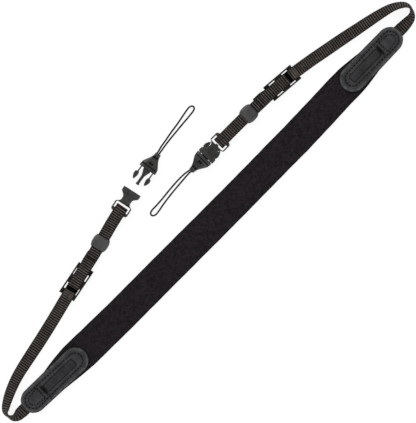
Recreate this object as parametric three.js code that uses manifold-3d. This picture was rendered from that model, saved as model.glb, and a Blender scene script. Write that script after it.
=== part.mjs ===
// Camera neck strap, lying flat: a padded neck band with a leather tongue at each end,
// ribbed webbing folded back beside it, length adjusters, keepers, two small side-release
// buckles (one fastened, one open) and the thin cord loops that go through a camera's eyelets.
// Millimetres, +Z up, the surface that it lies on is z = 0. +X runs along the neck pad and
// +Y towards the webbing. Tables are measured from the middle of the pad, and MIDDLE is where
// the middle of the whole strap lies from there.
import * as THREE from "three";
import { mergeVertices } from "three/addons/utils/BufferGeometryUtils.js";
import Module from "manifold-3d";

const wasm = await Module();
wasm.setup();

const MIDDLE = { x: 3.5, y: 31.9 };
const GAP = 0.3; // between pieces that lie on each other

const WEB = { width: 10, thick: 1.2 };
const CORD = { diameter: 1.4, sides: 8, step: 2.6 };

// ---------------------------------------------------------------- shared shapes

const radians = (degrees) => (degrees * Math.PI) / 180;

// Reads a table of rows at x, in straight lines between rows; column 0 is x.
function readTable(rows, x, column) {
  if (x <= rows[0][0]) return rows[0][column];
  for (let i = 1; i < rows.length; i += 1) {
    const [before, after] = [rows[i - 1], rows[i]];
    if (x <= after[0]) {
      const part = (x - before[0]) / (after[0] - before[0]);
      return before[column] + part * (after[column] - before[column]);
    }
  }
  return rows[rows.length - 1][column];
}

// A closed body through a list of rings with equal counts of points, with flat ends.
function loft(rings) {
  const count = rings[0].length;
  const points = rings.flat();
  const faces = [];
  for (let i = 0; i + 1 < rings.length; i += 1) {
    for (let k = 0; k < count; k += 1) {
      const next = (k + 1) % count;
      const [a, b] = [i * count + k, i * count + next];
      faces.push(a, b, b + count, a, b + count, a + count);
    }
  }
  const last = (rings.length - 1) * count;
  for (let k = 1; k + 1 < count; k += 1) {
    faces.push(0, k + 1, k, last, last + k, last + k + 1);
  }
  const geometry = new THREE.BufferGeometry().setFromPoints(points);
  geometry.setIndex(faces);
  return outward(geometry);
}

// Turns every face round when the body is inside out.
function outward(geometry) {
  const at = geometry.attributes.position;
  const index = geometry.index.array;
  const corner = [0, 1, 2].map(() => new THREE.Vector3());
  let volume = 0;
  for (let f = 0; f < index.length; f += 3) {
    corner.forEach((v, k) => v.fromBufferAttribute(at, index[f + k]));
    volume += corner[0].dot(corner[1].clone().cross(corner[2]));
  }
  if (volume < 0) {
    for (let f = 0; f < index.length; f += 3) {
      [index[f + 1], index[f + 2]] = [index[f + 2], index[f + 1]];
    }
  }
  geometry.computeVertexNormals();
  return geometry;
}

// An outline of [x, y] corners raised from one height to another, with holes if given.
function prism(outline, low, high) {
  const shape = new THREE.Shape(outline.map(([x, y]) => new THREE.Vector2(x, y)));
  const options = { depth: high - low, bevelEnabled: false, curveSegments: 6 };
  return new THREE.ExtrudeGeometry(shape, options).translate(0, 0, low);
}

// A table of [x, half width] as a closed outline, mirrored about the X axis.
function mirroredOutline(rows) {
  const lower = rows.map(([x, half]) => [x, -half]);
  const upper = rows.map(([x, half]) => [x, half]).reverse();
  return [...lower, ...upper];
}

function box(x0, x1, halfWidth, z0, z1) {
  const geometry = new THREE.BoxGeometry(x1 - x0, 2 * halfWidth, z1 - z0);
  return geometry.translate((x0 + x1) / 2, 0, (z0 + z1) / 2);
}

function toSolid(geometry) {
  const bare = geometry.clone();
  bare.deleteAttribute("normal");
  bare.deleteAttribute("uv");
  const merged = mergeVertices(bare);
  return new wasm.Manifold(
    new wasm.Mesh({
      numProp: 3,
      vertProperties: new Float32Array(merged.attributes.position.array),
      triVerts: new Uint32Array(merged.index.array),
    }),
  );
}

function toGeometry(solid) {
  const mesh = solid.getMesh();
  const geometry = new THREE.BufferGeometry();
  geometry.setAttribute("position", new THREE.BufferAttribute(mesh.vertProperties, mesh.numProp));
  geometry.setIndex(new THREE.BufferAttribute(mesh.triVerts, 1));
  geometry.computeVertexNormals();
  return geometry;
}

function cut(geometry, tools) {
  return toGeometry(tools.reduce((body, tool) => body.subtract(toSolid(tool)), toSolid(geometry)));
}

function join(geometries) {
  return geometries.map(toSolid).reduce((body, other) => body.add(other));
}

// A rounded section: half width a, from height low to high, sharper than an ellipse.
function softSection(x, a, low, high, count = 16, sharpness = 0.5) {
  const soft = (value) => Math.sign(value) * Math.abs(value) ** sharpness;
  const [middle, half] = [(low + high) / 2, (high - low) / 2];
  return Array.from({ length: count }, (_, k) => {
    const turn = (2 * Math.PI * (k + 0.5)) / count;
    return new THREE.Vector3(x, a * soft(Math.cos(turn)), middle + half * soft(Math.sin(turn)));
  });
}

// ---------------------------------------------------------------- neck pad

// Columns: x, middle y, width, thickness. The ends run as thin tongues under the leather.
const PAD_ROWS = [
  [-216.8, 2.5, 6.0, 1.4],
  [-215.2, 2.5, 12.4, 1.4],
  [-212.0, 2.4, 16.8, 1.4],
  [-208.0, 2.4, 18.6, 1.4],
  [-197.0, 2.1, 19.2, 1.4],
  [-190.0, 1.9, 20.6, 1.9],
  [-182.0, 1.9, 23.4, 2.3],
  [-172.0, 1.9, 25.8, 2.6],
  [-162.0, 1.7, 27.6, 2.8],
  [-152.0, 1.4, 28.3, 3.0],
  [-140.0, 1.1, 28.0, 3.3],
  [-102.0, 0.4, 27.7, 3.4],
  [-52.0, 0.4, 27.7, 3.4],
  [0.0, 0.0, 27.6, 3.4],
  [48.0, 0.1, 27.4, 3.4],
  [98.0, 0.3, 27.6, 3.4],
  [118.0, 0.8, 27.5, 3.4],
  [138.0, 1.4, 27.3, 3.3],
  [153.0, 1.8, 27.3, 3.0],
  [163.0, 1.8, 27.2, 2.8],
  [170.0, 1.8, 26.0, 2.6],
  [180.0, 1.8, 23.6, 2.3],
  [189.0, 2.0, 20.6, 1.9],
  [197.0, 2.2, 19.2, 1.4],
  [208.5, 2.4, 18.6, 1.4],
  [212.6, 2.4, 16.8, 1.4],
  [216.0, 2.4, 12.4, 1.4],
  [217.6, 2.4, 6.0, 1.4],
];
const EDGE_STEPS = 4;

// A flat slab section with half-round edges.
function padSection([x, middle, width, thick]) {
  const [radius, flat] = [thick / 2, width / 2 - thick / 2];
  const ring = [];
  for (const side of [1, -1]) {
    for (let k = 0; k <= EDGE_STEPS; k += 1) {
      const turn = radians(-90 * side + (180 * k) / EDGE_STEPS);
      const [out, up] = [Math.cos(turn) * radius, Math.sin(turn) * radius];
      ring.push(new THREE.Vector3(x, middle + side * flat + out, radius + up));
    }
  }
  return ring;
}

const padThickness = (x) => readTable(PAD_ROWS, x, 3);

// ---------------------------------------------------------------- leather tongues

const LEATHER = { thick: 1.2, webEndRadius: 10.7, padEndRadius: 11.3 };
const TABS = {
  left: { webEnd: [-208.8, 2.4], padEnd: [-161.6, 0.9] },
  right: { webEnd: [209.5, 2.4], padEnd: [165.0, 1.8] },
};
const WEB_TAIL_UNDER_TAB = 10; // how far the webbing goes past the centre of the round end
const UNDER_TAB = padThickness(-208) + GAP; // underside of the webbing under the leather
const SLACK = 0.1; // room for the flat faces of the pieces under the leather
// The leather's rise over the webbing: its reach past the webbing's end and the half width
// where it starts, each with the length of the slope.
const RISE = { pastEnd: 3.2, endSlope: 2.6, half: 9.4, sideSlope: 2.4 };
const ACROSS_TAB = [-1, -0.74, -0.52, -0.26, 0, 0.26, 0.52, 0.74, 1];

// Height of the leather's underside: on the pad, and raised over the webbing's end.
function leatherUnderside(x, along, across) {
  const onPad = padThickness(x) + GAP + SLACK;
  const onWeb = UNDER_TAB + WEB.thick + GAP + SLACK;
  const toEnd = WEB_TAIL_UNDER_TAB + RISE.pastEnd - along;
  const overEnd = THREE.MathUtils.clamp(toEnd / RISE.endSlope, 0, 1);
  const overSides = THREE.MathUtils.clamp((RISE.half - Math.abs(across)) / RISE.sideSlope, 0, 1);
  return onPad + Math.max(onWeb - onPad, 0) * overEnd * overSides;
}

function tab({ webEnd, padEnd }) {
  const axis = new THREE.Vector2(padEnd[0] - webEnd[0], padEnd[1] - webEnd[1]);
  const length = axis.length();
  axis.normalize();
  const { webEndRadius: r1, padEndRadius: r2 } = LEATHER;
  const rows = [];
  for (const turn of [14, 28, 46, 66, 90]) {
    rows.push([-r1 * Math.cos(radians(turn)), r1 * Math.sin(radians(turn))]);
  }
  for (const along of [4, 8, 10.6, 13.2, 17, 24, 32, 40]) {
    rows.push([along, r1 + ((r2 - r1) * along) / length]);
  }
  for (const turn of [90, 66, 46, 28, 14]) {
    rows.push([length + r2 * Math.cos(radians(turn)), r2 * Math.sin(radians(turn))]);
  }
  const rings = rows.map(([along, half]) => {
    const under = ACROSS_TAB.map((part) => {
      const across = part * half;
      const x = webEnd[0] + along * axis.x - across * axis.y;
      const y = webEnd[1] + along * axis.y + across * axis.x;
      return new THREE.Vector3(x, y, leatherUnderside(x, along, across));
    });
    const over = under.map((p) => p.clone().setZ(p.z + LEATHER.thick)).reverse();
    return [...under, ...over];
  });
  return loft(rings);
}

// ---------------------------------------------------------------- webbing

// The spine is the line in plan through slider, keeper and buckle. The distances along it
// from the slider's middle are the same on both sides, counted towards the buckle.
const ALONG = { keeper: 37.6, buckle: 66.2, tailEnd: 27 };
const SPINES = {
  left: [
    [-134.0, 41.6],
    [-129.0, 42.8],
    [-114.7, 46.1],
    [-99.0, 49.6],
    [-90.0, 51.5],
    [-77.9, 54.5],
    [-70.0, 56.5],
    [-60.0, 59.1],
    [-49.8, 61.4],
    [-41.9, 62.9],
  ],
  right: [
    [142.0, 38.3],
    [136.0, 39.3],
    [121.6, 40.7],
    [107.0, 41.7],
    [92.0, 42.2],
    [84.3, 42.4],
    [78.0, 42.6],
    [66.0, 42.7],
    [55.6, 42.7],
    [47.6, 42.8],
  ],
};
const SLIDER_POINT = 2; // the row of a spine that is the slider's middle

// Columns: x, y, lift of the band's outer edge off the surface, bank: the angle by which
// its inner edge is raised. The first rows lie under the leather, the last meet the spine.
const BENDS = {
  left: [
    [-198.8, 2.1, UNDER_TAB, 0],
    [-209.0, 2.4, UNDER_TAB, 0],
    [-220.2, 2.4, UNDER_TAB, 0],
    [-224.0, 2.5, 0.8, 17],
    [-227.6, 2.7, 0.1, 33],
    [-231.0, 4.4, 0.1, 54],
    [-232.8, 7.6, 0.1, 73],
    [-232.8, 10.4, 0.1, 66],
    [-231.3, 12.9, 0.1, 54],
    [-227.5, 15.8, 0.1, 45],
    [-219.6, 20.0, 0.1, 34],
    [-209.5, 24.1, 0.1, 28],
    [-199.5, 27.0, 0.1, 23],
    [-186.0, 29.9, 0.1, 14],
    [-170.0, 33.2, 0.1, 5],
    [-155.0, 36.6, 0.2, 0],
    [-144.0, 39.2, 0.8, 0],
    [-137.0, 40.9, 2.1, 0],
  ],
  right: [
    [199.5, 2.3, UNDER_TAB, 0],
    [209.5, 2.4, UNDER_TAB, 0],
    [220.8, 2.4, UNDER_TAB, 0],
    [225.0, 2.3, 0.8, 16],
    [229.5, 2.4, 0.2, 30],
    [234.0, 3.0, 0.1, 44],
    [237.6, 5.0, 0.1, 62],
    [239.7, 8.2, 0.1, 73],
    [239.8, 11.4, 0.1, 65],
    [238.0, 14.6, 0.1, 58],
    [233.3, 18.1, 0.1, 51],
    [227.2, 20.9, 0.1, 43],
    [217.6, 23.5, 0.1, 33],
    [207.6, 25.7, 0.1, 26],
    [196.0, 28.1, 0.1, 18],
    [180.0, 31.4, 0.1, 8],
    [165.0, 34.3, 0.2, 0],
    [152.0, 36.8, 0.8, 0],
    [144.5, 38.0, 2.1, 0],
  ],
};
const BEND_STEPS_PER_ROW = 3;

// Heights of the band's middle as it goes through slider, keeper and buckle.
const LAYER = {
  floor: WEB.thick / 2,
  tail: 1.5 + WEB.thick / 2,
  overEndBar: 3.2 + WEB.thick / 2,
  overAll: 4.7 + WEB.thick / 2,
  keeperLow: 1.9,
  keeperHigh: 3.4,
  barLow: 1.2,
  barHigh: 5.2,
};
const WRAP_STEPS = 7;

// Points [along, height] on half a turn, from straight down round to straight up.
function halfTurn(along, height, radius, side) {
  return Array.from({ length: WRAP_STEPS + 1 }, (_, k) => {
    const turn = radians(-90 + (180 * k) / WRAP_STEPS);
    return [along + side * radius * Math.cos(turn), height + radius * Math.sin(turn)];
  });
}

// The threaded stretch: over the slider's far bar, under the middle and near bars, through
// the keeper, round the buckle's bar, back on top, round the slider's middle bar, and out
// over its near bar as the sewn tail.
function threadedRoute() {
  const { keeper, buckle, tailEnd } = ALONG;
  const barTurn = (LAYER.barHigh - LAYER.barLow) / 2;
  const sliderTurn = (LAYER.overAll - LAYER.tail) / 2;
  return [
    [-15.2, 3.75],
    [-12.8, LAYER.overEndBar],
    [-9.9, LAYER.overEndBar],
    [-9.0, 3.55],
    [-8.2, 2.95],
    [-7.3, 2.05],
    [-6.5, 1.3],
    [-5.6, 0.8],
    [-4.2, LAYER.floor],
    [6, LAYER.floor],
    [18, LAYER.floor],
    [tailEnd, LAYER.floor],
    [keeper - 8.5, 1.1],
    [keeper - 6.2, LAYER.keeperLow],
    [keeper, LAYER.keeperLow],
    [keeper + 6.2, LAYER.keeperLow],
    [keeper + 12, 1.3],
    [buckle - 6, LAYER.barLow],
    [buckle, LAYER.barLow],
    ...halfTurn(buckle + 4.6, (LAYER.barLow + LAYER.barHigh) / 2, barTurn, 1),
    [buckle, LAYER.barHigh],
    [buckle - 5, 4.9],
    [keeper + 14, 3.9],
    [keeper + 6.2, LAYER.keeperHigh],
    [keeper, LAYER.keeperHigh],
    [keeper - 6.2, LAYER.keeperHigh],
    [tailEnd, 3.6],
    [22.5, 3.6],
    [21, 3.7],
    [19.4, 4.25],
    [17.6, 5.05],
    [15.6, LAYER.overAll],
    [6, LAYER.overAll],
    ...halfTurn(-3.6, (LAYER.tail + LAYER.overAll) / 2, sliderTurn, -1).reverse(),
    [3.6, LAYER.tail],
    [5.4, 2.45],
    [7.6, 3.4],
    [9.2, LAYER.overEndBar],
    [15.3, LAYER.overEndBar],
    [17, 3.35],
    [18.6, 2.5],
    [20.2, LAYER.tail],
    [tailEnd, LAYER.tail],
  ];
}

// A smooth curve that spends the same share of its parameter on each row of a table.
function evenCurve(points) {
  return new THREE.CatmullRomCurve3(points, false, "catmullrom");
}

function planCurve(points) {
  const curve = new THREE.CatmullRomCurve3(points.map(([x, y]) => new THREE.Vector3(x, y, 0)));
  curve.arcLengthDivisions = 400;
  return curve;
}

// Point and heading on a spine at a distance from the slider's middle.
function onSpine(side, along) {
  const points = SPINES[side];
  const curve = planCurve(points);
  const lengths = curve.getLengths();
  const rowStep = (lengths.length - 1) / (points.length - 1);
  const start = lengths[Math.round(rowStep * SLIDER_POINT)];
  const total = lengths[lengths.length - 1];
  const part = (start + along) / total;
  const at = THREE.MathUtils.clamp(part, 0, 1);
  const heading = curve.getTangentAt(at);
  const point = curve.getPointAt(at).addScaledVector(heading, (part - at) * total);
  return { point, heading };
}

// The whole band: stations of a middle point and a direction across the band.
function webbingStations(side) {
  const inward = side === "left" ? -1 : 1; // the raised edge lies to this hand of the travel
  const rows = BENDS[side];
  const path = evenCurve(rows.map(([x, y]) => new THREE.Vector3(x, y, 0)));
  const lean = evenCurve(rows.map(([, , lift, bank]) => new THREE.Vector3(lift, radians(bank), 0)));
  const steps = (rows.length - 1) * BEND_STEPS_PER_ROW;
  const stations = [];
  for (let i = 0; i <= steps; i += 1) {
    const tangent = path.getTangent(i / steps);
    const { x: lift, y: bank } = lean.getPoint(i / steps);
    const rise = (WEB.width * Math.sin(bank) + WEB.thick * Math.cos(bank)) / 2;
    const across = new THREE.Vector3(-tangent.y, tangent.x, 0).normalize();
    across.multiplyScalar(inward * Math.cos(bank)).setZ(Math.sin(bank));
    stations.push({ point: path.getPoint(i / steps).setZ(lift + rise), across });
  }
  for (const [along, height] of threadedRoute()) {
    const { point, heading } = onSpine(side, along);
    const across = new THREE.Vector3(-heading.y, heading.x, 0).multiplyScalar(inward);
    stations.push({ point: point.clone().setZ(height), across });
  }
  return stations;
}

// A rectangular section carried along the stations.
function band(stations) {
  const rings = stations.map(({ point, across }, i) => {
    const before = stations[Math.max(i - 1, 0)].point;
    const after = stations[Math.min(i + 1, stations.length - 1)].point;
    const tangent = after.clone().sub(before).normalize();
    const wide = across.clone().addScaledVector(tangent, -across.dot(tangent)).normalize();
    const normal = tangent.clone().cross(wide);
    return [
      [1, 1],
      [-1, 1],
      [-1, -1],
      [1, -1],
    ].map(([w, n]) =>
      point
        .clone()
        .addScaledVector(wide, (w * WEB.width) / 2)
        .addScaledVector(normal, (n * WEB.thick) / 2),
    );
  });
  return loft(rings);
}

// ---------------------------------------------------------------- slider, keeper, buckle

const SLIDER = {
  length: 29.4,
  width: 14.7,
  rail: 1.3,
  corner: 0.8,
  slotFrom: 3.9,
  slotTo: 9.7,
  low: 1.0,
  endBarLow: 1.5,
  endBarHigh: 2.9,
  midBarLow: 3.0,
  high: 4.4,
};

// Rails, two low end bars and a raised middle bar, with two slots between them.
function slider() {
  const s = SLIDER;
  const [half, wide, inside] = [s.length / 2, s.width / 2, s.width / 2 - s.rail];
  const past = 1;
  const outline = mirroredOutline([
    [-half, wide - s.corner],
    [-half + s.corner, wide],
    [half - s.corner, wide],
    [half, wide - s.corner],
  ]);
  const tools = [box(-s.slotFrom, s.slotFrom, inside, s.low - past, s.midBarLow)];
  for (const side of [-1, 1]) {
    const ends = [side * s.slotTo, side * (half + past)].sort((a, b) => a - b);
    const slot = [side * s.slotFrom, side * s.slotTo].sort((a, b) => a - b);
    tools.push(box(...slot, inside, s.low - past, s.high + past));
    tools.push(box(...ends, inside, s.endBarHigh, s.high + past));
    tools.push(box(...ends, inside, s.low - past, s.endBarLow));
  }
  return cut(prism(outline, s.low, s.high), tools);
}

const KEEPER = { length: 11.4, endHalf: 6.1, midHalf: 7.1, endTop: 5.3, midTop: 5.9 };
const KEEPER_HOLE = { half: 5.3, low: 1.0, high: 4.3 };
const KEEPER_STATIONS = [-1, -0.75, -0.35, 0, 0.35, 0.75, 1];

// A domed loop, wider and higher in the middle, with a flat slot through it.
function keeper() {
  const k = KEEPER;
  const rings = KEEPER_STATIONS.map((part) => {
    const bulge = 1 - part * part;
    const half = k.endHalf + (k.midHalf - k.endHalf) * bulge;
    const top = k.endTop + (k.midTop - k.endTop) * bulge;
    return softSection((part * k.length) / 2, half, 0, top, 20, 0.42);
  });
  const hole = box(-k.length, k.length, KEEPER_HOLE.half, KEEPER_HOLE.low, KEEPER_HOLE.high);
  return cut(loft(rings), [hole]);
}

// Socket: columns are x from the webbing end, half width.
const SOCKET_OUTLINE = [
  [0.0, 6.2],
  [0.6, 7.2],
  [1.6, 7.7],
  [8.0, 7.7],
  [8.8, 7.1],
  [9.6, 5.5],
  [10.4, 4.4],
  [12.2, 4.1],
  [14.4, 4.2],
  [15.6, 4.9],
  [16.6, 6.0],
  [17.5, 7.3],
  [18.6, 8.0],
  [22.0, 8.0],
];
const SOCKET = {
  length: 22,
  height: 6.6,
  frameEnd: 8.8,
  frameLow: 2.1,
  frameHigh: 4.3,
  slotFrom: 3.1,
  slotTo: 8.6,
  slotHalf: 6.5,
  cavityFrom: 11.6,
  cavityHalf: 6.7,
  cavityLow: 1.1,
  cavityHigh: 5.5,
  channelHalf: 1.8,
  channelLow: 2.2,
  channelHigh: 4.4,
};

// A flat shell, open at the mouth and at its sides, with a thin frame for the webbing.
function socket() {
  const s = SOCKET;
  const past = 1;
  return cut(prism(mirroredOutline(SOCKET_OUTLINE), 0, s.height), [
    box(-past, s.frameEnd, s.height * 2, s.frameHigh, s.height + past),
    box(-past, s.frameEnd, s.height * 2, -past, s.frameLow),
    box(s.slotFrom, s.slotTo, s.slotHalf, 0, s.height),
    box(s.cavityFrom, s.length + past, s.cavityHalf, s.cavityLow, s.cavityHigh),
    box(s.slotTo - past, s.cavityFrom + past, s.channelHalf, s.channelLow, s.channelHigh),
  ]);
}

// Male half: the cap's columns are x from its shoulder, half width, lowest and highest point.
const CAP_ROWS = [
  [0.0, 7.8, 0.0, 6.6],
  [3.4, 7.8, 0.0, 6.6],
  [5.8, 6.7, 0.1, 6.3],
  [8.3, 5.1, 0.2, 5.8],
  [10.6, 3.7, 0.4, 5.2],
  [13.2, 2.6, 0.7, 4.4],
  [15.2, 2.4, 0.8, 4.1],
];
const CAP_HOLES = { x: 12.0, y: 1.15, radius: 0.6, low: 3.0, high: 7 };
const TONGUE = { low: 2.6, high: 4.0 };
const TONGUE_ROWS = [
  [-14.8, 0.9],
  [-14.3, 1.25],
  [-7.0, 1.6],
  [-4.5, 2.1],
  [-1.5, 3.0],
  [0.6, 3.2],
];
const BARB = { low: 1.6, high: 5.0 };
const BARB_OUTLINE = [
  [0.6, 5.0],
  [0.6, 6.2],
  [-5.6, 6.1],
  [-5.8, 7.5],
  [-8.5, 7.8],
  [-11.1, 6.6],
  [-12.3, 5.7],
  [-11.8, 5.0],
  [-8.0, 4.7],
  [-5.4, 4.9],
];

function prongHalf() {
  const cap = loft(CAP_ROWS.map(([x, half, low, high]) => softSection(x, half, low, high)));
  const arms = [1, -1].map((side) => {
    const outline = BARB_OUTLINE.map(([x, y]) => [x, side * y]);
    return prism(outline, BARB.low, BARB.high);
  });
  const whole = join([cap, prism(mirroredOutline(TONGUE_ROWS), TONGUE.low, TONGUE.high), ...arms]);
  const { x, y, radius, low, high } = CAP_HOLES;
  const holes = [1, -1].map((side) => {
    const drill = new THREE.CylinderGeometry(radius, radius, high - low, 8).rotateX(Math.PI / 2);
    return toSolid(drill.translate(x, side * y, (low + high) / 2));
  });
  return toGeometry(holes.reduce((body, hole) => body.subtract(hole), whole));
}

// ---------------------------------------------------------------- cord loops

// Columns: x, y, height of the cord's middle.
const CORD_ROUTES = {
  left: [
    [7.4, 73.2, 2.3],
    [10.2, 73.9, 1.7],
    [14.0, 74.9, 0.9],
    [19.0, 75.7, 0.75],
    [28.0, 77.3, 0.75],
    [38.0, 78.8, 0.75],
    [47.0, 80.5, 0.75],
    [51.0, 81.2, 0.75],
    [53.6, 81.3, 0.75],
    [55.4, 80.6, 0.75],
    [56.2, 79.1, 0.75],
    [55.5, 77.6, 0.75],
    [53.6, 76.8, 0.75],
    [49.0, 76.2, 0.75],
    [40.0, 75.5, 0.75],
    [30.0, 74.6, 0.75],
    [20.0, 73.6, 0.75],
    [14.0, 72.7, 0.9],
    [10.4, 72.1, 1.7],
    [7.7, 71.6, 2.3],
  ],
  right: [
    [17.4, 44.1, 2.3],
    [15.2, 44.7, 1.7],
    [11.5, 45.3, 0.9],
    [6.0, 45.5, 0.75],
    [0.0, 45.3, 0.75],
    [-8.0, 44.7, 0.75],
    [-16.0, 43.9, 0.75],
    [-24.0, 43.4, 0.75],
    [-28.6, 43.3, 0.75],
    [-31.2, 42.5, 0.75],
    [-32.1, 40.9, 0.75],
    [-31.3, 39.3, 0.75],
    [-29.0, 38.5, 0.75],
    [-25.4, 38.8, 0.75],
    [-18.0, 40.1, 0.75],
    [-9.0, 41.3, 0.75],
    [0.0, 42.1, 0.75],
    [8.0, 42.7, 0.75],
    [12.5, 43.0, 0.9],
    [15.3, 43.0, 1.7],
    [17.4, 42.5, 2.3],
  ],
};

// A round section with a few sides, carried along the route.
function cordLoop(route) {
  const path = new THREE.CatmullRomCurve3(route.map((point) => new THREE.Vector3(...point)));
  const section = new THREE.Shape(
    Array.from({ length: CORD.sides }, (_, k) => {
      const turn = (2 * Math.PI * k) / CORD.sides;
      const radius = CORD.diameter / 2;
      return new THREE.Vector2(radius * Math.cos(turn), radius * Math.sin(turn));
    }),
  );
  const steps = Math.round(path.getLength() / CORD.step);
  return new THREE.ExtrudeGeometry(section, { steps, extrudePath: path, bevelEnabled: false });
}

// ---------------------------------------------------------------- assembly

const neoprene = new THREE.MeshStandardMaterial({ color: 0x1d1b20, roughness: 0.9 });
const leather = new THREE.MeshStandardMaterial({ color: 0x3c3c40, roughness: 0.6 });
const ribbed = new THREE.MeshStandardMaterial({ color: 0x4a433f, roughness: 0.85 });
const plastic = new THREE.MeshStandardMaterial({ color: 0x2a2928, roughness: 0.5 });
const smooth = new THREE.MeshStandardMaterial({ color: 0x474749, roughness: 0.4 });
const cordBlack = new THREE.MeshStandardMaterial({ color: 0x141414, roughness: 0.85 });

const strap = new THREE.Group();
strap.name = "camera_neck_strap";
strap.position.set(-MIDDLE.x, -MIDDLE.y, 0);

function add(name, geometry, material) {
  const mesh = new THREE.Mesh(geometry, material);
  mesh.name = name;
  strap.add(mesh);
  return mesh;
}

// Puts a piece with its own +X along a heading in plan.
function addAt(name, geometry, material, x, y, turn) {
  const mesh = add(name, geometry, material);
  mesh.position.set(x, y, 0);
  mesh.rotation.z = turn;
}

const headingOf = ({ x, y }) => Math.atan2(y, x);
const SLIDER_SKEW = { left: radians(-2), right: 0 }; // the left slider sits a little askew
const JOINT_GAP = 0.4; // between the socket's mouth and the cap's shoulder
const LOOSE_PRONG = { x: -7.9, y: 69.5, turn: radians(9.5) };

add("pad", loft(PAD_ROWS.map(padSection)), neoprene);
for (const side of ["left", "right"]) {
  add(`tab_${side}`, tab(TABS[side]), leather);
  add(`webbing_${side}`, band(webbingStations(side)), ribbed);
  const places = { slider: 0, keeper: ALONG.keeper, socket: ALONG.buckle };
  for (const [piece, along] of Object.entries(places)) {
    const { point, heading } = onSpine(side, along);
    const turn = headingOf(heading) + (piece === "slider" ? SLIDER_SKEW[side] : 0);
    const make = { slider, keeper, socket }[piece];
    addAt(`${piece}_${side}`, make(), piece === "keeper" ? smooth : plastic, point.x, point.y, turn);
  }
  add(`cord_loop_${side}`, cordLoop(CORD_ROUTES[side]), cordBlack);
}
addAt("prong_left", prongHalf(), plastic, LOOSE_PRONG.x, LOOSE_PRONG.y, LOOSE_PRONG.turn);
const mouth = onSpine("right", ALONG.buckle);
const reach = SOCKET.length + JOINT_GAP;
const shoulder = mouth.point.clone().addScaledVector(mouth.heading, reach);
addAt("prong_right", prongHalf(), plastic, shoulder.x, shoulder.y, headingOf(mouth.heading));

export default strap;
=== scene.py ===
# %% [markdown]
# # A camera neck strap, laid out flat
# The strap is a padded neck band with a leather tongue at each end. From each tongue a
# narrow ribbed webbing turns back beside the band, is shortened by a slider, tidied by a
# keeper, and ends in a small side-release buckle. A thin cord loop on each buckle goes
# through the camera's eyelet. One buckle is fastened and the other lies open.
#
# We start from the imported construction model, which fixes where every piece lies.

# %% Load the frame
import math

import bmesh
import bpy
import numpy as np
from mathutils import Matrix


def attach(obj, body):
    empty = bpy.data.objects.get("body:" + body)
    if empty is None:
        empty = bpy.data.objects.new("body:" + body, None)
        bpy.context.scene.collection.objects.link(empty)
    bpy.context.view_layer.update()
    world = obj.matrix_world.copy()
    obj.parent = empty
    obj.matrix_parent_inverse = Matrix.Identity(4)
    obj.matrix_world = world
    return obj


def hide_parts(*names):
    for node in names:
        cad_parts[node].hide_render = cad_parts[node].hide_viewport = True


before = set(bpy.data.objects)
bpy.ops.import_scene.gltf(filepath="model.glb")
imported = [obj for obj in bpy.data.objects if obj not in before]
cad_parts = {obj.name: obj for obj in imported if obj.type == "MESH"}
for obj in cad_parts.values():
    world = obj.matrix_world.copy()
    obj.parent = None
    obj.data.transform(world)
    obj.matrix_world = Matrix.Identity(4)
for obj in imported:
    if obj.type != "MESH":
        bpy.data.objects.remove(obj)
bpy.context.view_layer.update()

# %% [markdown]
# ## Units
# A maker measures this strap in millimetres from the middle of the neck pad: X along the
# pad, Y towards the webbing, Z up from the table. Blender works in metres about the middle
# of the whole strap, so one small function takes points from the first to the second.

# %% From the maker's millimetres to the frame
MM = 0.001
MIDDLE = np.array([3.5, 31.9, 0.0])


def to_frame(points):
    """Metres in the row frame: the millimetre point less MIDDLE, times MM."""
    return (np.asarray(points, float) - MIDDLE) * MM


# %% [markdown]
# ## The camera
# The strap lies on a table and is seen from straight above, turned so that the pad runs
# from low on the left to high on the right. A long lens keeps the view almost parallel, so
# nothing leans. Its distance follows from how tall the view is at the strap's own height.

# %% Camera straight above
VIEW_TURN = math.radians(-45.3)
VIEW_CENTRE = (-0.0005, -0.0223)
VIEW_HEIGHT = 0.3494  # what the taller side of the view takes in
STRAP_LEVEL = 0.003
LENS = 135.0
SENSOR = 36.0

camera_data = bpy.data.cameras.new("camera")
camera_data.lens = LENS
camera_data.sensor_width = SENSOR
camera = bpy.data.objects.new("camera", camera_data)
camera.location = (*VIEW_CENTRE, STRAP_LEVEL + VIEW_HEIGHT * LENS / SENSOR)
camera.rotation_euler = (0, 0, VIEW_TURN)
bpy.context.scene.collection.objects.link(camera)
bpy.context.scene.camera = camera
print("camera stands", round(camera.location.z, 3), "m above the table")
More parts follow.
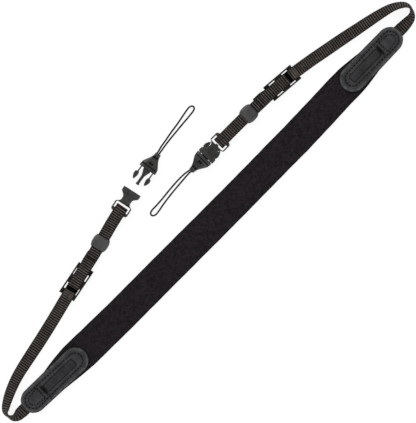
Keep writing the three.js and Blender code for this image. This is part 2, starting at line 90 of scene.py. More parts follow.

# %% [markdown]
# ## Surfaces from arrays
# Every piece here is a grid of points, rows by columns, worked out as one array. A tube is
# a grid whose columns close on themselves; a ring closes both ways. Beside each point we
# keep three things for the finish: a place on the piece in millimetres (its UV map), a
# *shade*, which is 1 on the open surface and sinks to 0 where shade is painted into the
# colour, in grooves, pits and dips and at edges turned from the light, and also where a
# piece is darker in itself, and a *wear and highlight* mask, which is 1 on the rims that
# hands and table tops rub and, on the leather, along a painted highlight on its border.

# %% A grid becomes a surface
def grid(points, uv=None, shade=1, wear_and_highlight=0, close_rows=False, close_columns=False, caps=False):
    """Square (i, j) joins points (i, j), (i, j+1), (i+1, j+1) and (i+1, j). A closed direction
    joins its last line to its first, and caps lay one flat face on the first and last row."""
    points = np.asarray(points, float)
    rows, columns = points.shape[:2]
    if uv is None:
        uv = np.zeros((rows + 1, columns + 1, 2))
    i, j = np.meshgrid(
        np.arange(rows - (not close_rows)), np.arange(columns - (not close_columns)), indexing="ij"
    )
    i, j = i.ravel(), j.ravel()
    corners = [(i, j), (i, j + 1), (i + 1, j + 1), (i + 1, j)]
    ends = [np.arange(columns), (rows - 1) * columns + np.arange(columns)] if caps else []
    return {
        "points": points.reshape(-1, 3),
        "shade": np.broadcast_to(shade, (rows, columns)).ravel(),
        "wear_and_highlight": np.broadcast_to(wear_and_highlight, (rows, columns)).ravel(),
        "quads": np.stack([(a % rows) * columns + b % columns for a, b in corners], axis=1),
        "quad_uv": np.stack([uv[a, b] for a, b in corners], axis=1).reshape(-1, 2),
        "ends": ends,
        "end_uv": np.vstack([uv[0, :columns], uv[rows - 1, :columns]]) if caps else np.zeros((0, 2)),
    }


# %% Surfaces become a finished piece
SMOOTH_UNDER = math.radians(38)
MERGE_WITHIN = 1e-7


def piece(name, surfaces, finish, stands_for):
    """One object from several surfaces: their points end to end, each one's faces counted on
    from the points before it. Doubles are merged, then all faces are turned outwards."""
    starts = np.cumsum([0] + [len(s["points"]) for s in surfaces])
    quads = np.vstack([s["quads"] + start for s, start in zip(surfaces, starts)])
    ends = [end + start for s, start in zip(surfaces, starts) for end in s["ends"]]
    mesh = bpy.data.meshes.new(name)
    points = to_frame(np.vstack([s["points"] for s in surfaces]))
    mesh.from_pydata(points, [], quads.tolist() + [end.tolist() for end in ends])
    marks = np.vstack([s["quad_uv"] for s in surfaces] + [s["end_uv"] for s in surfaces])
    mesh.uv_layers.new(name="UVMap").data.foreach_set("uv", marks.astype(np.float32).ravel())
    for mask in ("shade", "wear_and_highlight"):
        values = np.concatenate([s[mask] for s in surfaces]).astype(np.float32)
        mesh.attributes.new(mask, "FLOAT", "POINT").data.foreach_set("value", values)
    work = bmesh.new()
    work.from_mesh(mesh)
    bmesh.ops.remove_doubles(work, verts=work.verts, dist=MERGE_WITHIN)
    bmesh.ops.recalc_face_normals(work, faces=work.faces)
    work.to_mesh(mesh)
    work.free()
    mesh.shade_smooth()
    mesh.set_sharp_from_angle(angle=SMOOTH_UNDER)
    mesh.materials.append(finish)
    made = bpy.data.objects.new(name, mesh)
    bpy.context.scene.collection.objects.link(made)
    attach(made, "root")
    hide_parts(*stands_for)
    print(name, len(mesh.vertices), "points,", len(mesh.polygons), "faces")
    return made


# %% [markdown]
# ## Lines to carry things along
# Cords, webbing and outlines all follow lines. Three helpers cover them: a smooth curve
# through given points, a copy of a line at even steps, and a running average that
# softens corners the way thread and moulded plastic soften them.

# %% Smooth curves, even steps and soft corners
def smooth_line(points, per_span=24, even=False):
    """Points on a curve through the given ones: each span is a cubic whose end slopes come
    from its neighbours, weighted by the square roots of the distances, or equally if even."""
    p = np.asarray(points, float)
    p = np.vstack([2 * p[0] - p[1], p, 2 * p[-1] - p[-2]])
    gap = np.sqrt(np.linalg.norm(np.diff(p, axis=0), axis=1))[:, None]
    gap = np.ones_like(gap) if even else gap
    before, here, after = gap[:-2], gap[1:-1], gap[2:]
    a, b, c, d = p[:-3], p[1:-2], p[2:-1], p[3:]
    leave = ((b - a) / before - (c - a) / (before + here) + (c - b) / here) * here
    enter = ((c - b) / here - (d - b) / (here + after) + (d - c) / after) * here
    t = (np.arange(per_span) / per_span)[None, :, None]
    b, c, leave, enter = (v[:, None, :] for v in (b, c, leave, enter))
    curve = (
        (2 * t**3 - 3 * t**2 + 1) * b
        + (t**3 - 2 * t**2 + t) * leave
        + (3 * t**2 - 2 * t**3) * c
        + (t**3 - t**2) * enter
    )
    return np.vstack([curve.reshape(-1, p.shape[1]), p[-2]])


def travelled(points):
    """Distance from the first point, along the line, to each of its points."""
    return np.concatenate([[0], np.cumsum(np.linalg.norm(np.diff(points, axis=0), axis=1))])


def even_steps(points, step, extra=None, closed=False):
    """The same line at even steps of about the given size. Columns in extra go along with it."""
    points = np.vstack([points, points[:1]]) if closed else np.asarray(points, float)
    columns = points if extra is None else np.hstack([points, extra])
    way = travelled(points)
    count = max(int(round(way[-1] / step)), 3)
    wanted = np.linspace(0, way[-1], count + 1)
    line = np.stack([np.interp(wanted, way, column) for column in columns.T], axis=1)
    return line[:-1] if closed else line


def soften(rows, reach, closed=False):
    """Running average of rows with a bell-shaped weight, reach being its spread in rows."""
    width = int(math.ceil(3 * reach))
    weight = np.exp(-0.5 * (np.arange(-width, width + 1) / reach) ** 2)
    weight /= weight.sum()
    if closed:
        padded = np.vstack([rows[-width:], rows, rows[:width]])
    else:
        head = 2 * rows[0] - rows[width:0:-1]
        tail = 2 * rows[-1] - rows[-2 : -width - 2 : -1]
        padded = np.vstack([head, rows, tail])
    return np.stack([np.convolve(column, weight, "valid") for column in padded.T], axis=1)


def unit(vectors):
    """The same directions with length one."""
    return vectors / np.linalg.norm(vectors, axis=-1, keepdims=True)


# %% [markdown]
# ## Effects that several finishes share
# A shader node group works like a helper function. *Uneven tone* mixes two colours with
# soft patches, *woven relief* raises crossing threads, *pebble grain* gives leather and
# moulded plastic their fine bumps, *rub and highlight edges* breaks up what hands polish and
# the leather's painted rim highlight, and *lint* scatters the odd pale fibre. Each gives out a colour,
# a mask or a height only.

# %% Small helpers for nodes
def node(tree, kind, inputs=(), **settings):
    """Adds a node. settings are its own choices; inputs pairs a socket's name or number with
    a plain value or with the output that feeds it."""
    made = tree.nodes.new(kind)
    for key, value in settings.items():
        setattr(made, key, value)
    for key, value in dict(inputs).items():
        if isinstance(value, bpy.types.NodeSocket):
            tree.links.new(value, made.inputs[key])
        else:
            made.inputs[key].default_value = value
    return made


def work_out(tree, operation, first, second=0.0, third=0.0):
    """One step of arithmetic between outputs or plain numbers."""
    sockets = {0: first, 1: second, 2: third}
    return node(tree, "ShaderNodeMath", sockets, operation=operation).outputs[0]


def ramp(tree, value, low, high, start=0.0, end=1.0):
    """Carries low..high of a value smoothly on to start..end."""
    sockets = {"Value": value, 1: low, 2: high, 3: start, 4: end}
    return node(tree, "ShaderNodeMapRange", sockets, interpolation_type="SMOOTHSTEP").outputs[0]


def blend_colours(tree, share, first, second, how="MIX"):
    """Mixes two colours by a share from 0, all first, to 1, all second."""
    sockets = {0: share, 6: first, 7: second}
    return node(tree, "ShaderNodeMix", sockets, data_type="RGBA", blend_type=how).outputs[2]


def new_group(name, inputs, outputs):
    """An empty node group with named sockets, and its inner input and output nodes."""
    tree = bpy.data.node_groups.new(name, "ShaderNodeTree")
    for label, kind, value in inputs:
        socket = tree.interface.new_socket(label, in_out="INPUT", socket_type="NodeSocket" + kind)
        if value is not None:
            socket.default_value = value
    for label, kind in outputs:
        tree.interface.new_socket(label, in_out="OUTPUT", socket_type="NodeSocket" + kind)
    return tree, tree.nodes.new("NodeGroupInput").outputs, tree.nodes.new("NodeGroupOutput").inputs


def use(tree, group, inputs):
    """Places a node group in a material with its own values."""
    placed = tree.nodes.new("ShaderNodeGroup")
    placed.node_tree = group
    for key, value in inputs.items():
        if isinstance(value, bpy.types.NodeSocket):
            tree.links.new(value, placed.inputs[key])
        else:
            placed.inputs[key].default_value = value
    return placed.outputs


# %% Group: uneven tone
uneven_tone, given, out = new_group(
    "Uneven tone",
    [
        ("Vector", "Vector", None),
        ("Patches", "Float", 20.0),
        ("Dark", "Color", (0.0, 0.0, 0.0, 1.0)),
        ("Light", "Color", (1.0, 1.0, 1.0, 1.0)),
    ],
    [("Color", "Color"), ("Mask", "Float")],
)
patches = node(
    uneven_tone,
    "ShaderNodeTexNoise",
    {"Vector": given["Vector"], "Scale": given["Patches"], "Detail": 4.0, "Roughness": 0.6},
).outputs["Fac"]
patch_mask = ramp(uneven_tone, patches, 0.3, 0.7)
uneven_tone.links.new(patch_mask, out["Mask"])
uneven_tone.links.new(
    blend_colours(uneven_tone, patch_mask, given["Dark"], given["Light"]), out["Color"]
)

# %% Group: woven relief
woven_relief, given, out = new_group(
    "Woven relief",
    [
        ("Vector", "Vector", None),
        ("Pitch Along", "Float", 1.0),
        ("Pitch Across", "Float", 1.0),
        ("Slant", "Float", 0.0),
    ],
    [("Height", "Float")],
)
# Height is |sin(pi a)| times |cos(pi b)|, where a counts threads along the piece, moved on by
# the slant from row to row, and b counts them across it.
cloth = node(woven_relief, "ShaderNodeSeparateXYZ", {0: given["Vector"]}).outputs
moved_on = work_out(woven_relief, "MULTIPLY", cloth[1], given["Slant"])
along = work_out(woven_relief, "ADD", cloth[0], moved_on)
along = work_out(woven_relief, "DIVIDE", along, given["Pitch Along"])
across = work_out(woven_relief, "DIVIDE", cloth[1], given["Pitch Across"])
rise = work_out(woven_relief, "SINE", work_out(woven_relief, "MULTIPLY", along, math.pi))
fall = work_out(woven_relief, "COSINE", work_out(woven_relief, "MULTIPLY", across, math.pi))
both = work_out(woven_relief, "MULTIPLY", rise, fall)
woven_relief.links.new(work_out(woven_relief, "ABSOLUTE", both), out["Height"])

# %% Group: pebble grain
pebble_grain, given, out = new_group(
    "Pebble grain",
    [("Vector", "Vector", None), ("Cells", "Float", 900.0), ("Softness", "Float", 0.5)],
    [("Height", "Float")],
)
cells = node(
    pebble_grain,
    "ShaderNodeTexVoronoi",
    {"Vector": given["Vector"], "Scale": given["Cells"]},
    feature="SMOOTH_F1",
).outputs["Distance"]
creases = node(
    pebble_grain,
    "ShaderNodeTexNoise",
    {"Vector": given["Vector"], "Scale": given["Cells"], "Detail": 3.0},
).outputs["Fac"]
dome = work_out(pebble_grain, "SUBTRACT", 1.0, cells)
mixed = node(
    pebble_grain, "ShaderNodeMix", {0: given["Softness"], 2: dome, 3: creases}, data_type="FLOAT"
).outputs[0]
pebble_grain.links.new(mixed, out["Height"])

# %% Group: rub and highlight edges
rub_and_highlight_edges, given, out = new_group(
    "Rub and highlight edges",
    [("Vector", "Vector", None), ("Wear And Highlight", "Float", 0.0), ("Amount", "Float", 1.0)],
    [("Mask", "Float")],
)
broken = node(
    rub_and_highlight_edges, "ShaderNodeTexNoise", {"Vector": given["Vector"], "Scale": 300.0, "Detail": 3.0}
).outputs["Fac"]
edge = work_out(rub_and_highlight_edges, "MULTIPLY", given["Wear And Highlight"], ramp(rub_and_highlight_edges, broken, 0.3, 0.65))
rub_and_highlight_edges.links.new(work_out(rub_and_highlight_edges, "MULTIPLY", edge, given["Amount"]), out["Mask"])

# %% Group: lint
lint, given, out = new_group(
    "Lint",
    [("Vector", "Vector", None), ("Specks", "Float", 400.0), ("Amount", "Float", 0.5)],
    [("Mask", "Float")],
)
fibres = node(
    lint,
    "ShaderNodeTexNoise",
    {"Vector": given["Vector"], "Scale": given["Specks"], "Detail": 2.0, "Distortion": 1.5},
).outputs["Fac"]
lint.links.new(
    work_out(lint, "MULTIPLY", ramp(lint, fibres, 0.66, 0.76), given["Amount"]), out["Mask"]
)
print("node groups", [group.name for group in bpy.data.node_groups])


# %% [markdown]
# ## The finishes
# Each material is one short function around a Principled shader. Numbers that are the same
# all over are set on the shader itself; what changes over the surface comes from a group,
# the piece's own UV map in millimetres, or its *shade*.

# %% Common start and end of a material
def start_finish(name, sheen=0.0, specular=0.5):
    """A material with a Principled shader, the places that patterns read, and both masks.
    Grooves shine less than open faces: the specular level follows the shade."""
    made = bpy.data.materials.new(name)
    made.use_nodes = True
    tree = made.node_tree
    shader = tree.nodes["Principled BSDF"]
    shader.inputs["Sheen Weight"].default_value = sheen
    places = tree.nodes.new("ShaderNodeTexCoord").outputs
    shade = node(tree, "ShaderNodeAttribute", attribute_name="shade").outputs["Fac"]
    wear_and_highlight = node(tree, "ShaderNodeAttribute", attribute_name="wear_and_highlight").outputs["Fac"]
    shine = ramp(tree, shade, 0.0, 1.0, 0.0, specular)
    tree.links.new(shine, shader.inputs["Specular IOR Level"])
    return made, tree, shader, places["Object"], places["UV"], shade, wear_and_highlight


def end_finish(tree, shader, colour, roughness, height, depth, strength):
    """Joins colour, roughness and a bump of the given depth in metres to the shader."""
    tree.links.new(colour, shader.inputs["Base Color"])
    tree.links.new(roughness, shader.inputs["Roughness"])
    bump = node(
        tree, "ShaderNodeBump", {"Height": height, "Distance": depth, "Strength": strength}
    )
    tree.links.new(bump.outputs["Normal"], shader.inputs["Normal"])


def grey(level, warmth=0.0):
    """A colour near grey; warmth above 0 moves it to brown and below 0 to blue."""
    return (level * (1 + warmth), level, level * (1 - warmth), 1.0)


# %% Neoprene with a knitted face
def neoprene_finish():
    """Foam faced with black jersey: a fine slanting knit, cloudy tone and a darker edge, partly the cut
    foam's own black and partly painted shade where the edge rolls down.
    """
    made, tree, shader, at, cloth_at, shade, _ = start_finish("neoprene", 0.03, 0.1)
    knit = use(
        tree,
        woven_relief,
        {"Vector": cloth_at, "Pitch Along": 1.5, "Pitch Across": 1.1, "Slant": 0.9},
    )["Height"]
    tone = use(
        tree,
        uneven_tone,
        {
            "Vector": at,
            "Patches": 420.0,
            "Dark": (0.0062, 0.0038, 0.0056, 1.0),
            "Light": (0.0250, 0.0185, 0.0240, 1.0),
        },
    )
    fluff = use(tree, lint, {"Vector": at, "Specks": 900.0, "Amount": 0.3})["Mask"]
    face = blend_colours(tree, ramp(tree, knit, 0.0, 0.8, 0.7, 0.0), tone["Color"], grey(0.003))
    face = blend_colours(tree, fluff, face, (0.05, 0.042, 0.048, 1.0))
    # painted shade along the pad's rounded edge, together with the cut foam's own black
    face = blend_colours(tree, shade, grey(0.0015), face)
    rough = ramp(tree, tone["Mask"], 0.0, 1.0, 0.82, 0.96)
    end_finish(tree, shader, face, rough, knit, 0.00025, 0.6)
    return made


# %% Charcoal leather
def leather_finish():
    """Coated split leather: fine pebbles, cool charcoal, and a painted highlight along the rim, where
    it catches the light, broken up like rubbing.
    """
    made, tree, shader, at, _, shade, wear_and_highlight = start_finish("leather", specular=0.3)
    grain = use(tree, pebble_grain, {"Vector": at, "Cells": 1500.0, "Softness": 0.35})["Height"]
    tone = use(
        tree,
        uneven_tone,
        {
            "Vector": at,
            "Patches": 160.0,
            "Dark": (0.0130, 0.0125, 0.0145, 1.0),
            "Light": (0.0370, 0.0355, 0.0400, 1.0),
        },
    )
    # a painted highlight along the leather's border, broken up like rubbing, lightens the face
    rub_and_highlight = use(tree, rub_and_highlight_edges, {"Vector": at, "Wear And Highlight": wear_and_highlight, "Amount": 0.7})["Mask"]
    face = blend_colours(tree, ramp(tree, grain, 0.35, 0.7, 0.5, 0.0), tone["Color"], grey(0.006))
    face = blend_colours(tree, rub_and_highlight, face, grey(0.085, -0.02))
    # painted shade in the grooves, the pressed line, the step and along the rolled edge, and the
    # panel's own darker tone
    face = blend_colours(tree, shade, grey(0.0015), face)
    rough = ramp(tree, grain, 0.3, 0.8, 0.66, 0.5)
    end_finish(tree, shader, face, rough, grain, 0.00016, 0.55)
    return made


# %% Ribbed webbing
def webbing_finish():
    """Woven nylon: warm grey ribs across the band, black between them, where shade is painted into the
    grooves, and at the selvedges.
    """
    made, tree, shader, at, cloth_at, shade, _ = start_finish("webbing", 0.03, 0.18)
    threads = use(
        tree,
        woven_relief,
        {"Vector": cloth_at, "Pitch Along": 0.5, "Pitch Across": 0.62, "Slant": 0.25},
    )["Height"]
    tone = use(
        tree,
        uneven_tone,
        {
            "Vector": at,
            "Patches": 240.0,
            "Dark": (0.050, 0.041, 0.036, 1.0),
            "Light": (0.108, 0.090, 0.082, 1.0),
        },
    )
    fluff = use(tree, lint, {"Vector": at, "Specks": 1200.0, "Amount": 0.35})["Mask"]
    face = blend_colours(tree, ramp(tree, threads, 0.0, 0.7, 0.5, 0.0), tone["Color"], grey(0.012))
    face = blend_colours(tree, fluff, face, (0.14, 0.12, 0.11, 1.0))
    # painted shade between the ribs and where the band dips behind the slider's bar; the selvedges are
    # darker in themselves
    face = blend_colours(tree, ramp(tree, shade, 0.25, 0.95), grey(0.0015, 0.1), face)
    rough = ramp(tree, threads, 0.0, 1.0, 0.85, 0.62)
    end_finish(tree, shader, face, rough, threads, 0.00018, 0.7)
    return made


# %% Moulded plastic, in two tones
def plastic_finish(name, dark, light, gloss):
    """Acetal from a spark-eroded mould: very fine grain, satin gloss and edges lightened by rubbing."""
    made, tree, shader, at, _, shade, wear_and_highlight = start_finish(name, specular=0.42)
    grain = use(tree, pebble_grain, {"Vector": at, "Cells": 3200.0, "Softness": 0.7})["Height"]
    tone = use(tree, uneven_tone, {"Vector": at, "Patches": 130.0, "Dark": dark, "Light": light})
    rub_and_highlight = use(tree, rub_and_highlight_edges, {"Vector": at, "Wear And Highlight": wear_and_highlight, "Amount": 0.6})["Mask"]
    specks = use(tree, lint, {"Vector": at, "Specks": 1500.0, "Amount": 0.2})["Mask"]
    face = blend_colours(tree, rub_and_highlight, tone["Color"], grey(0.1, 0.03))
    face = blend_colours(tree, specks, face, grey(0.12, 0.04))
    # painted shade from the shade mask: in the cap's groove and pits, at its open end and at the
    # sleeves' ends; the slider's blackness is its own
    face = blend_colours(tree, shade, grey(0.002), face)
    rough = ramp(tree, tone["Mask"], 0.0, 1.0, gloss, gloss + 0.14)
    end_finish(tree, shader, face, rough, grain, 0.00005, 0.35)
    return made


# %% Braided cord and sewing thread
def thread_finish(name, level, along, across, slant):
    """Black polyester thread: crossing strands raised along the piece's own UV map."""
    made, tree, shader, at, cloth_at, _, _ = start_finish(name, specular=0.1)
    strands = use(
        tree,
        woven_relief,
        {"Vector": cloth_at, "Pitch Along": along, "Pitch Across": across, "Slant": slant},
    )["Height"]
    tone = use(
        tree,
        uneven_tone,
        {"Vector": at, "Patches": 500.0, "Dark": grey(level * 0.6), "Light": grey(level * 1.5)},
    )
    face = blend_colours(tree, ramp(tree, strands, 0.0, 0.6, 0.6, 0.0), tone["Color"], grey(0.002))
    rough = ramp(tree, strands, 0.0, 1.0, 0.85, 0.6)
    end_finish(tree, shader, face, rough, strands, 0.0001, 0.6)
    return made


finishes = {
    "neoprene": neoprene_finish(),
    "leather": leather_finish(),
    "webbing": webbing_finish(),
    "moulded_plastic": plastic_finish("moulded_plastic", grey(0.008, 0.08), grey(0.027, 0.05), 0.3),
    "smooth_plastic": plastic_finish("smooth_plastic", grey(0.03), grey(0.045, 0.01), 0.36),
    "cord": thread_finish("cord", 0.004, 0.9, 0.6, 0.8),
    "thread": thread_finish("thread", 0.003, 0.35, 1.5, 0.3),
}
print("finishes", list(finishes))

# %% [markdown]
# ## Cord loops
# Each buckle's cap carries a loop of thin braided cord, doubled back so that both ends go
# into the cap. It is limp, so it lies flat on the table from just past the cap and turns
# back in a narrow teardrop. It could be a bevelled curve, but a tube of our own lets the
# braid stand a little proud: a circle carried along the route, swelling in a spiral.

# %% Routes of the two loops: x, y and the height of the cord's middle
CORD_DIAMETER = 1.4
CORD_ROUTES = {
    "left": [
        (7.4, 73.2, 2.3), (10.2, 73.9, 1.7), (14.0, 74.9, 0.9), (19.0, 75.7, 0.75),
        (28.0, 77.3, 0.75), (38.0, 78.8, 0.75), (47.0, 80.5, 0.75), (51.0, 81.2, 0.75),
        (53.6, 81.3, 0.75), (55.4, 80.6, 0.75), (56.2, 79.1, 0.75), (55.5, 77.6, 0.75),
        (53.6, 76.8, 0.75), (49.0, 76.2, 0.75), (40.0, 75.5, 0.75), (30.0, 74.6, 0.75),
        (20.0, 73.6, 0.75), (14.0, 72.7, 0.9), (10.4, 72.1, 1.7), (7.7, 71.6, 2.3),
    ],
    "right": [
        (17.4, 44.1, 2.3), (15.2, 44.7, 1.7), (11.5, 45.3, 0.9), (6.0, 45.5, 0.75),
        (0.0, 45.3, 0.75), (-8.0, 44.7, 0.75), (-16.0, 43.9, 0.75), (-24.0, 43.4, 0.75),
        (-28.6, 43.3, 0.75), (-31.2, 42.5, 0.75), (-32.1, 40.9, 0.75), (-31.3, 39.3, 0.75),
        (-29.0, 38.5, 0.75), (-25.4, 38.8, 0.75), (-18.0, 40.1, 0.75), (-9.0, 41.3, 0.75),
        (0.0, 42.1, 0.75), (8.0, 42.7, 0.75), (12.5, 43.0, 0.9), (15.3, 43.0, 1.7),
        (17.4, 42.5, 2.3),
    ],
}


# %% A braided tube along a route
def braided_tube(route, diameter, step=0.16, sides=16, strands=4, lay=1.8, proud=0.07):
    """At distance s and angle a the radius is r (1 + proud |sin(strands a / 2 + 2 pi s / lay)|
    |sin(strands a / 2 - 2 pi s / lay)| - proud / 2): two spirals crossing round the cord."""
    line = even_steps(smooth_line(route), step)
    ahead = unit(np.gradient(line, axis=0))
    side = unit(np.cross(np.array([0.0, 0.0, 1.0]), ahead))
    up = np.cross(ahead, side)
    way = travelled(line)[:, None]
    angle = (2 * math.pi * np.arange(sides) / sides)[None, :]
    turn = 2 * math.pi * way / lay
    weave = np.abs(np.sin(strands * angle / 2 + turn) * np.sin(strands * angle / 2 - turn))
    radius = (diameter / 2 * (1 + proud * weave - proud / 2))[:, :, None]
    ring = np.cos(angle)[:, :, None] * side[:, None, :] + np.sin(angle)[:, :, None] * up[:, None, :]
    around = diameter / 2 * np.append(angle, 2 * math.pi)[None, :]
    uv = np.stack(np.broadcast_arrays(way, around), axis=2)
    return grid(line[:, None, :] + radius * ring, uv, close_columns=True, caps=True), line


for side, route in CORD_ROUTES.items():
    tube, centre_line = braided_tube(route, CORD_DIAMETER)
    loop = piece(f"cord_loop_{side}_braid", [tube], finishes["cord"], [f"cord_loop_{side}"])

# %% [markdown]
# ## Neck pad
# The pad is a band of foam faced on both sides with black jersey and cut to shape, so it is
# flat, with soft rounded edges, and narrows to a tongue under the leather at each end. It
# isn't stuffed, so there is nothing for a cloth simulation to swell: the section is worked
# out directly, a slab whose edges roll off, carried along a table of widths.

# %% Pad sizes: x, middle y, width, thickness
PAD_TABLE = np.array([
    (-216.8, 2.5, 6.0, 1.4), (-215.2, 2.5, 12.4, 1.4), (-212.0, 2.4, 16.8, 1.4),
    (-208.0, 2.4, 18.6, 1.4), (-197.0, 2.1, 19.2, 1.4), (-190.0, 1.9, 20.6, 1.9),
    (-182.0, 1.9, 23.4, 2.3), (-172.0, 1.9, 25.8, 2.6), (-162.0, 1.7, 27.6, 2.8),
    (-152.0, 1.4, 28.3, 3.0), (-140.0, 1.1, 28.0, 3.3), (-102.0, 0.4, 27.7, 3.4),
    (-52.0, 0.4, 27.7, 3.4), (0.0, 0.0, 27.6, 3.4), (48.0, 0.1, 27.4, 3.4),
    (98.0, 0.3, 27.6, 3.4), (118.0, 0.8, 27.5, 3.4), (138.0, 1.4, 27.3, 3.3),
    (153.0, 1.8, 27.3, 3.0), (163.0, 1.8, 27.2, 2.8), (170.0, 1.8, 26.0, 2.6),
    (180.0, 1.8, 23.6, 2.3), (189.0, 2.0, 20.6, 1.9), (197.0, 2.2, 19.2, 1.4),
    (208.5, 2.4, 18.6, 1.4), (212.6, 2.4, 16.8, 1.4), (216.0, 2.4, 12.4, 1.4),
    (217.6, 2.4, 6.0, 1.4),
])
PAD_STEP = 1.2
PAD_COLUMNS = 34  # points across each face
PAD_EDGE_POINTS = 5
PAD_ROLL_OFF = 0.22  # how much the face sinks towards the cut edge
# The dark line along the edge is partly the cut foam's own black and partly painted shade where the
# edge rolls away from the light.
SHADED_CUT_EDGE = 0.9  # the dark line along the edge
PAD_SWELL = 0.1  # height of the foam's waves
EDGE_WANDER = 0.12  # how far the middle line strays to either side
WANDER_FINENESS = 3.1


def pad_thickness(x):
    """Thickness of the pad at x, straight between the rows of its table."""
    return np.interp(x, PAD_TABLE[:, 0], PAD_TABLE[:, 3])


def unevenness(x, y):
    """Three long slow waves laid over each other, from -1 to 1: foam is never quite flat."""
    waves = np.sin(x / 17.0 + y / 9.0) + np.sin(x / 7.3 - y / 12.0 + 1.1) + np.sin(x / 41.0 + 2.0)
    return waves / 3


# %% The pad as one surface
def pad_surface():
    """Each row is a section: along the top face, round one edge as a half circle, back along
    the bottom and round the other. The face sinks by PAD_ROLL_OFF (1 - d/3)^2 within 3 mm."""
    x = np.arange(PAD_TABLE[0, 0], PAD_TABLE[-1, 0] + PAD_STEP / 2, PAD_STEP)
    table = soften(np.stack([np.interp(x, PAD_TABLE[:, 0], c) for c in PAD_TABLE.T], axis=1), 1.2)
    _, middle, width, thick = (column[:, None] for column in table.T)
    face = np.linspace(1, -1, PAD_COLUMNS)[None, :]
    turn = np.radians(np.linspace(90, -90, PAD_EDGE_POINTS + 2)[1:-1])[None, :]
    radius = thick / 2
    flat = width / 2 - radius
    near_edge = np.clip(1 - flat * (1 - np.abs(face)) / 3, 0, 1)
    swell = PAD_SWELL * unevenness(x[:, None], flat * face) * (1 - near_edge)
    top = thick - PAD_ROLL_OFF * near_edge**2 + swell
    edge_y = flat + radius * np.cos(turn)
    edge_z = radius + (radius - PAD_ROLL_OFF / 2) * np.sin(turn)
    y = np.hstack([flat * face, -edge_y, -flat * face, edge_y[:, ::-1]])
    z = np.hstack([top, edge_z, np.zeros_like(top) + 0.05 * near_edge, edge_z[:, ::-1]])
    wander = EDGE_WANDER * unevenness(WANDER_FINENESS * x[:, None], 0)
    points = np.stack(np.broadcast_arrays(x[:, None], middle + wander + y, z), axis=2)
    from_edge = width / 2 - np.abs(y)
    # darker near the edge: painted shade on the rounded edge and the cut foam's own black
    shade = np.clip(from_edge / SHADED_CUT_EDGE, 0, 1) ** 2
    uv_y = np.hstack([y, y[:, :1]])
    uv = np.stack(np.broadcast_arrays(x[:, None], uv_y), axis=2)
    return grid(points, uv, shade, close_columns=True, caps=True)


pad = piece("neck_pad", [pad_surface()], finishes["neoprene"], ["pad"])

# %% [markdown]
# ## Leather tongues
# A tongue of coated leather is sewn over each end of the pad, with the webbing's end held
# between them. Its outline is a long rounded one, so every ring of points is that outline
# drawn in towards the middle line: the rolled edge, the stitch groove and the pressed
# panel all follow it. Where the webbing ends, the leather steps down with a soft dip.

# %% Leather sizes
LEATHER_THICK = 1.2
TABS = {
    "left": {"web_end": (-208.8, 2.4), "pad_end": (-161.6, 0.9)},
    "right": {"web_end": (209.5, 2.4), "pad_end": (165.0, 1.8)},
}
OUTLINE_RADII = (10.7, 11.3)  # at the webbing end and at the pad end
STITCH_RADII = (7.1, 6.3)
UNDER_LEATHER = 1.7  # underside of the webbing's end
WEB_THICK = 1.2
CLEARANCE = 0.4
WEB_TAIL = 10.0  # how far the webbing goes past the middle of the round end
# The leather's rise over the webbing: its reach past the webbing's end and the half width
# where it starts, each with the length of the slope.
RISE = {"past_end": 3.2, "end_slope": 2.6, "half": 9.4, "side_slope": 2.4}
INNER_RADIUS = 4.3  # the small D sewn over the webbing's end
INNER_REACH = 8.4  # how far the D goes, to its straight cross line
PANEL = {"start": 13.3, "end": 45.8, "half": 3.4, "corner": 1.3}  # the pressed outline


def tab_axes(side):
    """Middle of the round web end, unit vectors along and across the tongue, and length."""
    start = np.array(TABS[side]["web_end"])
    axis = np.array(TABS[side]["pad_end"]) - start
    length = float(np.linalg.norm(axis))
    axis = axis / length
    return start, axis, np.array([-axis[1], axis[0]]), length


def leather_top(side, along, across):
    """Height of the leather's face before any sewing: its thickness on the pad, and raised
    over the webbing's end by a smooth step at the end and at both sides."""
    start, axis, _, _ = tab_axes(side)
    on_pad = pad_thickness(start[0] + along * axis[0]) + CLEARANCE
    on_web = UNDER_LEATHER + WEB_THICK + CLEARANCE
    end = np.clip((WEB_TAIL + RISE["past_end"] - along) / RISE["end_slope"], 0, 1)
    sides = np.clip((RISE["half"] - np.abs(across)) / RISE["side_slope"], 0, 1)
    end, sides = end * end * (3 - 2 * end), sides * sides * (3 - 2 * sides)
    return on_pad + np.maximum(on_web - on_pad, 0) * end * sides + LEATHER_THICK


# %% Lines drawn on the leather
def stadium(length, radii, step):
    """Round the web end, along one side, round the pad end and back: at place m on the
    middle line the line lies r(m) out, at an angle that turns half round at each end."""
    arc_points = int(round(math.pi * radii[1] / step))
    side_points = int(round(length / step))
    web = np.linspace(90, 270, arc_points, endpoint=False)
    pad_arc = np.linspace(-90, 90, arc_points, endpoint=False)
    run = np.linspace(0, length, side_points, endpoint=False)
    place = np.concatenate([0 * web, run, 0 * pad_arc + length, length - run])
    angle = np.radians(np.concatenate([web, 0 * run + 270, pad_arc, 0 * run + 90]))
    radius = radii[0] + (radii[1] - radii[0]) * place / length
    return place, angle, radius


def sewing_lines(length):
    """The outer row, the inner D and its cross line, as lines of (along, across) points."""
    place, angle, radius = stadium(length, STITCH_RADII, 0.3)
    outer = np.stack([place + radius * np.cos(angle), radius * np.sin(angle)], axis=1)
    turn = np.radians(np.linspace(90, 270, 40))
    bow = np.stack([INNER_RADIUS * np.cos(turn), INNER_RADIUS * np.sin(turn)], axis=1)
    ends = np.array([[INNER_REACH, INNER_RADIUS + 1.2], [INNER_REACH, -INNER_RADIUS - 1.2]])
    inner = np.vstack([ends[:1], bow, ends[1:]])
    return {"outer": np.vstack([outer, outer[:1]]), "inner": inner, "cross": ends}


